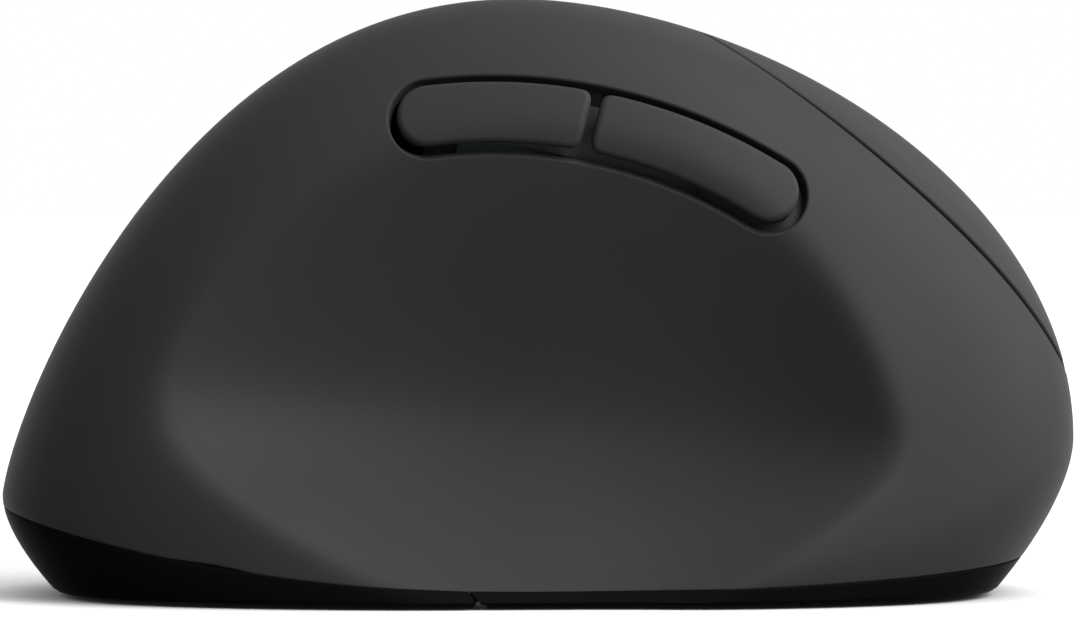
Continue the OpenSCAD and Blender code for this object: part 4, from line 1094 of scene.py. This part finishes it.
spots = bpy.data.meshes.new("screwSpots")
spots.from_pydata([(x * mm, y * mm, screwForm["foot"] * mm) for x, y, _ in postSpots], [], [])
screw = newObject("crossScrew", screwMesh())
screwsMesh = grown("baseScrews", spots, scatterTree(), {
    "Piece": screw, "Turn spread": screwForm["turnSpread"], "Material": finish["platedSteel"]})
bpy.data.objects.remove(screw)
screwsMesh.set_sharp_from_angle(angle=math.radians(screwForm["sharp"]))
settle("baseScrews", screwsMesh, "case", "steel", "base_screws")

# glide feet and the resolution button: rounded lozenges
def lozenge(half, low, high, edge, place, dome=0.0):  # a stadium with eased rims and a slightly domed top
    levels = [(edge, low), (edge * 0.3, low + edge * 0.3), (0, low + edge), (0, high - edge)]
    for t in np.radians((22, 45, 67, 90)):
        levels.append((edge * (1 - math.cos(t)), high - edge * (1 - math.sin(t))))
    rings = [stadium(half, inset, z) for inset, z in levels]
    rim = rings[-1]
    for k in (0.75, 0.5, 0.25):
        rings.append(np.column_stack([k * rim[:, :2], np.full(len(rim), high + dome * (1 - k * k))]))
    return ringSolid(rings, place, (0, 0, high + dome))


feet = {"front": (39.6, 0, 14, 3.2, True), "ledge": (0, -23.4, 4, 2.5, False),
        "rear": (-42, 0, 14, 3.2, True), "edge": 0.18}  # place, half axes, and whether it lies across


def footPad(name):
    x, y, hx, hy, across = feet[name]
    there = shifted(x, y)
    place = (lambda v: there(v[:, [1, 0, 2]] * [-1, 1, 1])) if across else there
    return lozenge((hx, hy), 0, foot, feet["edge"], place)


frontPads = joined(footPad("front"), footPad("ledge"))
addPiece("frontFeet", frontPads, finish["footPad"], "case", "foot", "front_feet")
addPiece("rearFeet", footPad("rear"), finish["footPad"], "battery_cover", "foot", "rear_feet")

resolution = {"along": -23, "half": (4.6, 2.3), "low": 37, "high": 43.5, "dome": 0.25, "edge": 0.6,
              "stem": 1.6, "stemFoot": 16.6, "stemLap": 1}


def atResolution(v):
    return fromStrip(v + [resolution["along"], 0, 0])


r = resolution
button = lozenge(r["half"], r["low"], r["high"], r["edge"], atResolution, r["dome"])
buttonStem = peg(r["stem"], r["stemFoot"], r["low"] + r["stemLap"], atResolution)
addPiece("resolutionButton", joined(button, buttonStem), finish["capPlastic"], "resolution_button", "trim",
         "resolution_button")

# floor, light and camera
# contact: reach of the painted contact shadow that ambient occlusion puts into the floor's glow
stageLook = {"floorSize": 6, "glow": (0.55, 0.98), "glowRun": (0.1, 0.5), "contact": 0.008,
             "floorColor": 0.36, "bounceColor": 0.15, "ambient": 0.3,
             "key": {"at": (0.49, -0.23, 0.81), "size": 0.5, "power": 10},
             "side": {"at": (0.82, 0.07, 0.42), "size": 0.5, "power": 6},
             "fill": {"at": (0.47, -0.67, 0.45), "size": 0.5, "power": 8.5}, "aim": (0, 0, 0.03)}


def backdropTree(tree, lit, glow):  # white where the camera or a mirror sees it, plain elsewhere
    ray = addNode(tree, "ShaderNodeLightPath").outputs
    seen = ray["Is Camera Ray"]
    for kind in ("Is Glossy Ray", "Is Transmission Ray"):
        seen = addNode(tree, "ShaderNodeMath", {0: seen, 1: ray[kind]}, operation="MAXIMUM")
    return addNode(tree, "ShaderNodeMixShader", {0: seen, 1: lit, 2: glow})


floorMesh = bpy.data.meshes.new("floor")
h = stageLook["floorSize"] / 2
floorMesh.from_pydata([(-h, -h, 0), (h, -h, 0), (h, h, 0), (-h, h, 0)], [], [(0, 1, 2, 3)])
floor = newObject("floor", floorMesh)
floorPaint = bpy.data.materials.new("floorPaint")
floorPaint.use_nodes = True
tree = floorPaint.node_tree
tree.nodes.clear()
place = addNode(tree, "ShaderNodeTexCoord").outputs["Object"]
away = addNode(tree, "ShaderNodeVectorMath", {0: place}, operation="LENGTH").outputs["Value"]
(near, far), (first, last) = stageLook["glowRun"], stageLook["glow"]
run = addNode(tree, "ShaderNodeMapRange",
              {"Value": away, "From Min": near, "From Max": far, "To Min": first, "To Max": last})
paintedContactShadow = addNode(tree, "ShaderNodeAmbientOcclusion", {"Distance": stageLook["contact"]})  # painted contact shadow: ambient occlusion darkens the floor's glow under the base
glowWithPaintedShadow = addNode(tree, "ShaderNodeMath", {0: run, 1: paintedContactShadow.outputs["AO"]}, operation="MULTIPLY")
glow = addNode(tree, "ShaderNodeEmission", {"Strength": glowWithPaintedShadow})
diffuse = addNode(tree, "ShaderNodeBsdfDiffuse", {"Color": grey(stageLook["floorColor"])})
both = addNode(tree, "ShaderNodeAddShader", {0: diffuse, 1: glow})
bounce = addNode(tree, "ShaderNodeBsdfDiffuse", {"Color": grey(stageLook["bounceColor"])})
addNode(tree, "ShaderNodeOutputMaterial", {"Surface": backdropTree(tree, bounce, both)})
floorMesh.materials.append(floorPaint)

world = bpy.data.worlds.new("studio")
world.use_nodes = True
scene.world = world
tree = world.node_tree
tree.nodes.clear()
ambient = addNode(tree, "ShaderNodeBackground", {"Color": grey(stageLook["ambient"])})
white = addNode(tree, "ShaderNodeBackground", {"Color": grey(1)})
addNode(tree, "ShaderNodeOutputWorld", {"Surface": backdropTree(tree, ambient, white)})

for name in ("key", "side", "fill"):
    look = stageLook[name]
    light = bpy.data.lights.new(name + "Light", "AREA")
    light.size = look["size"]
    light.energy = look["power"]
    obj = newObject(name + "Light", light)
    obj.location = look["at"]
    obj.rotation_euler = (Vector(stageLook["aim"]) - obj.location).to_track_quat("-Z", "Y").to_euler()

cameraLook = {"target": (0.0002, 0, 0.03125), "elevation": 1.5, "distance": 0.9, "across": 0.1221}
camera = bpy.data.cameras.new("camera")
camera.sensor_width = 36
camera.lens = camera.sensor_width * cameraLook["distance"] / cameraLook["across"]
eye = newObject("camera", camera)
tiltUp = math.radians(cameraLook["elevation"])
sight = Vector((0, -math.cos(tiltUp), math.sin(tiltUp)))
eye.location = Vector(cameraLook["target"]) + cameraLook["distance"] * sight
eye.rotation_euler = (math.pi / 2 - tiltUp, 0, 0)
scene.camera = eye
scene.view_settings.view_transform = "Standard"
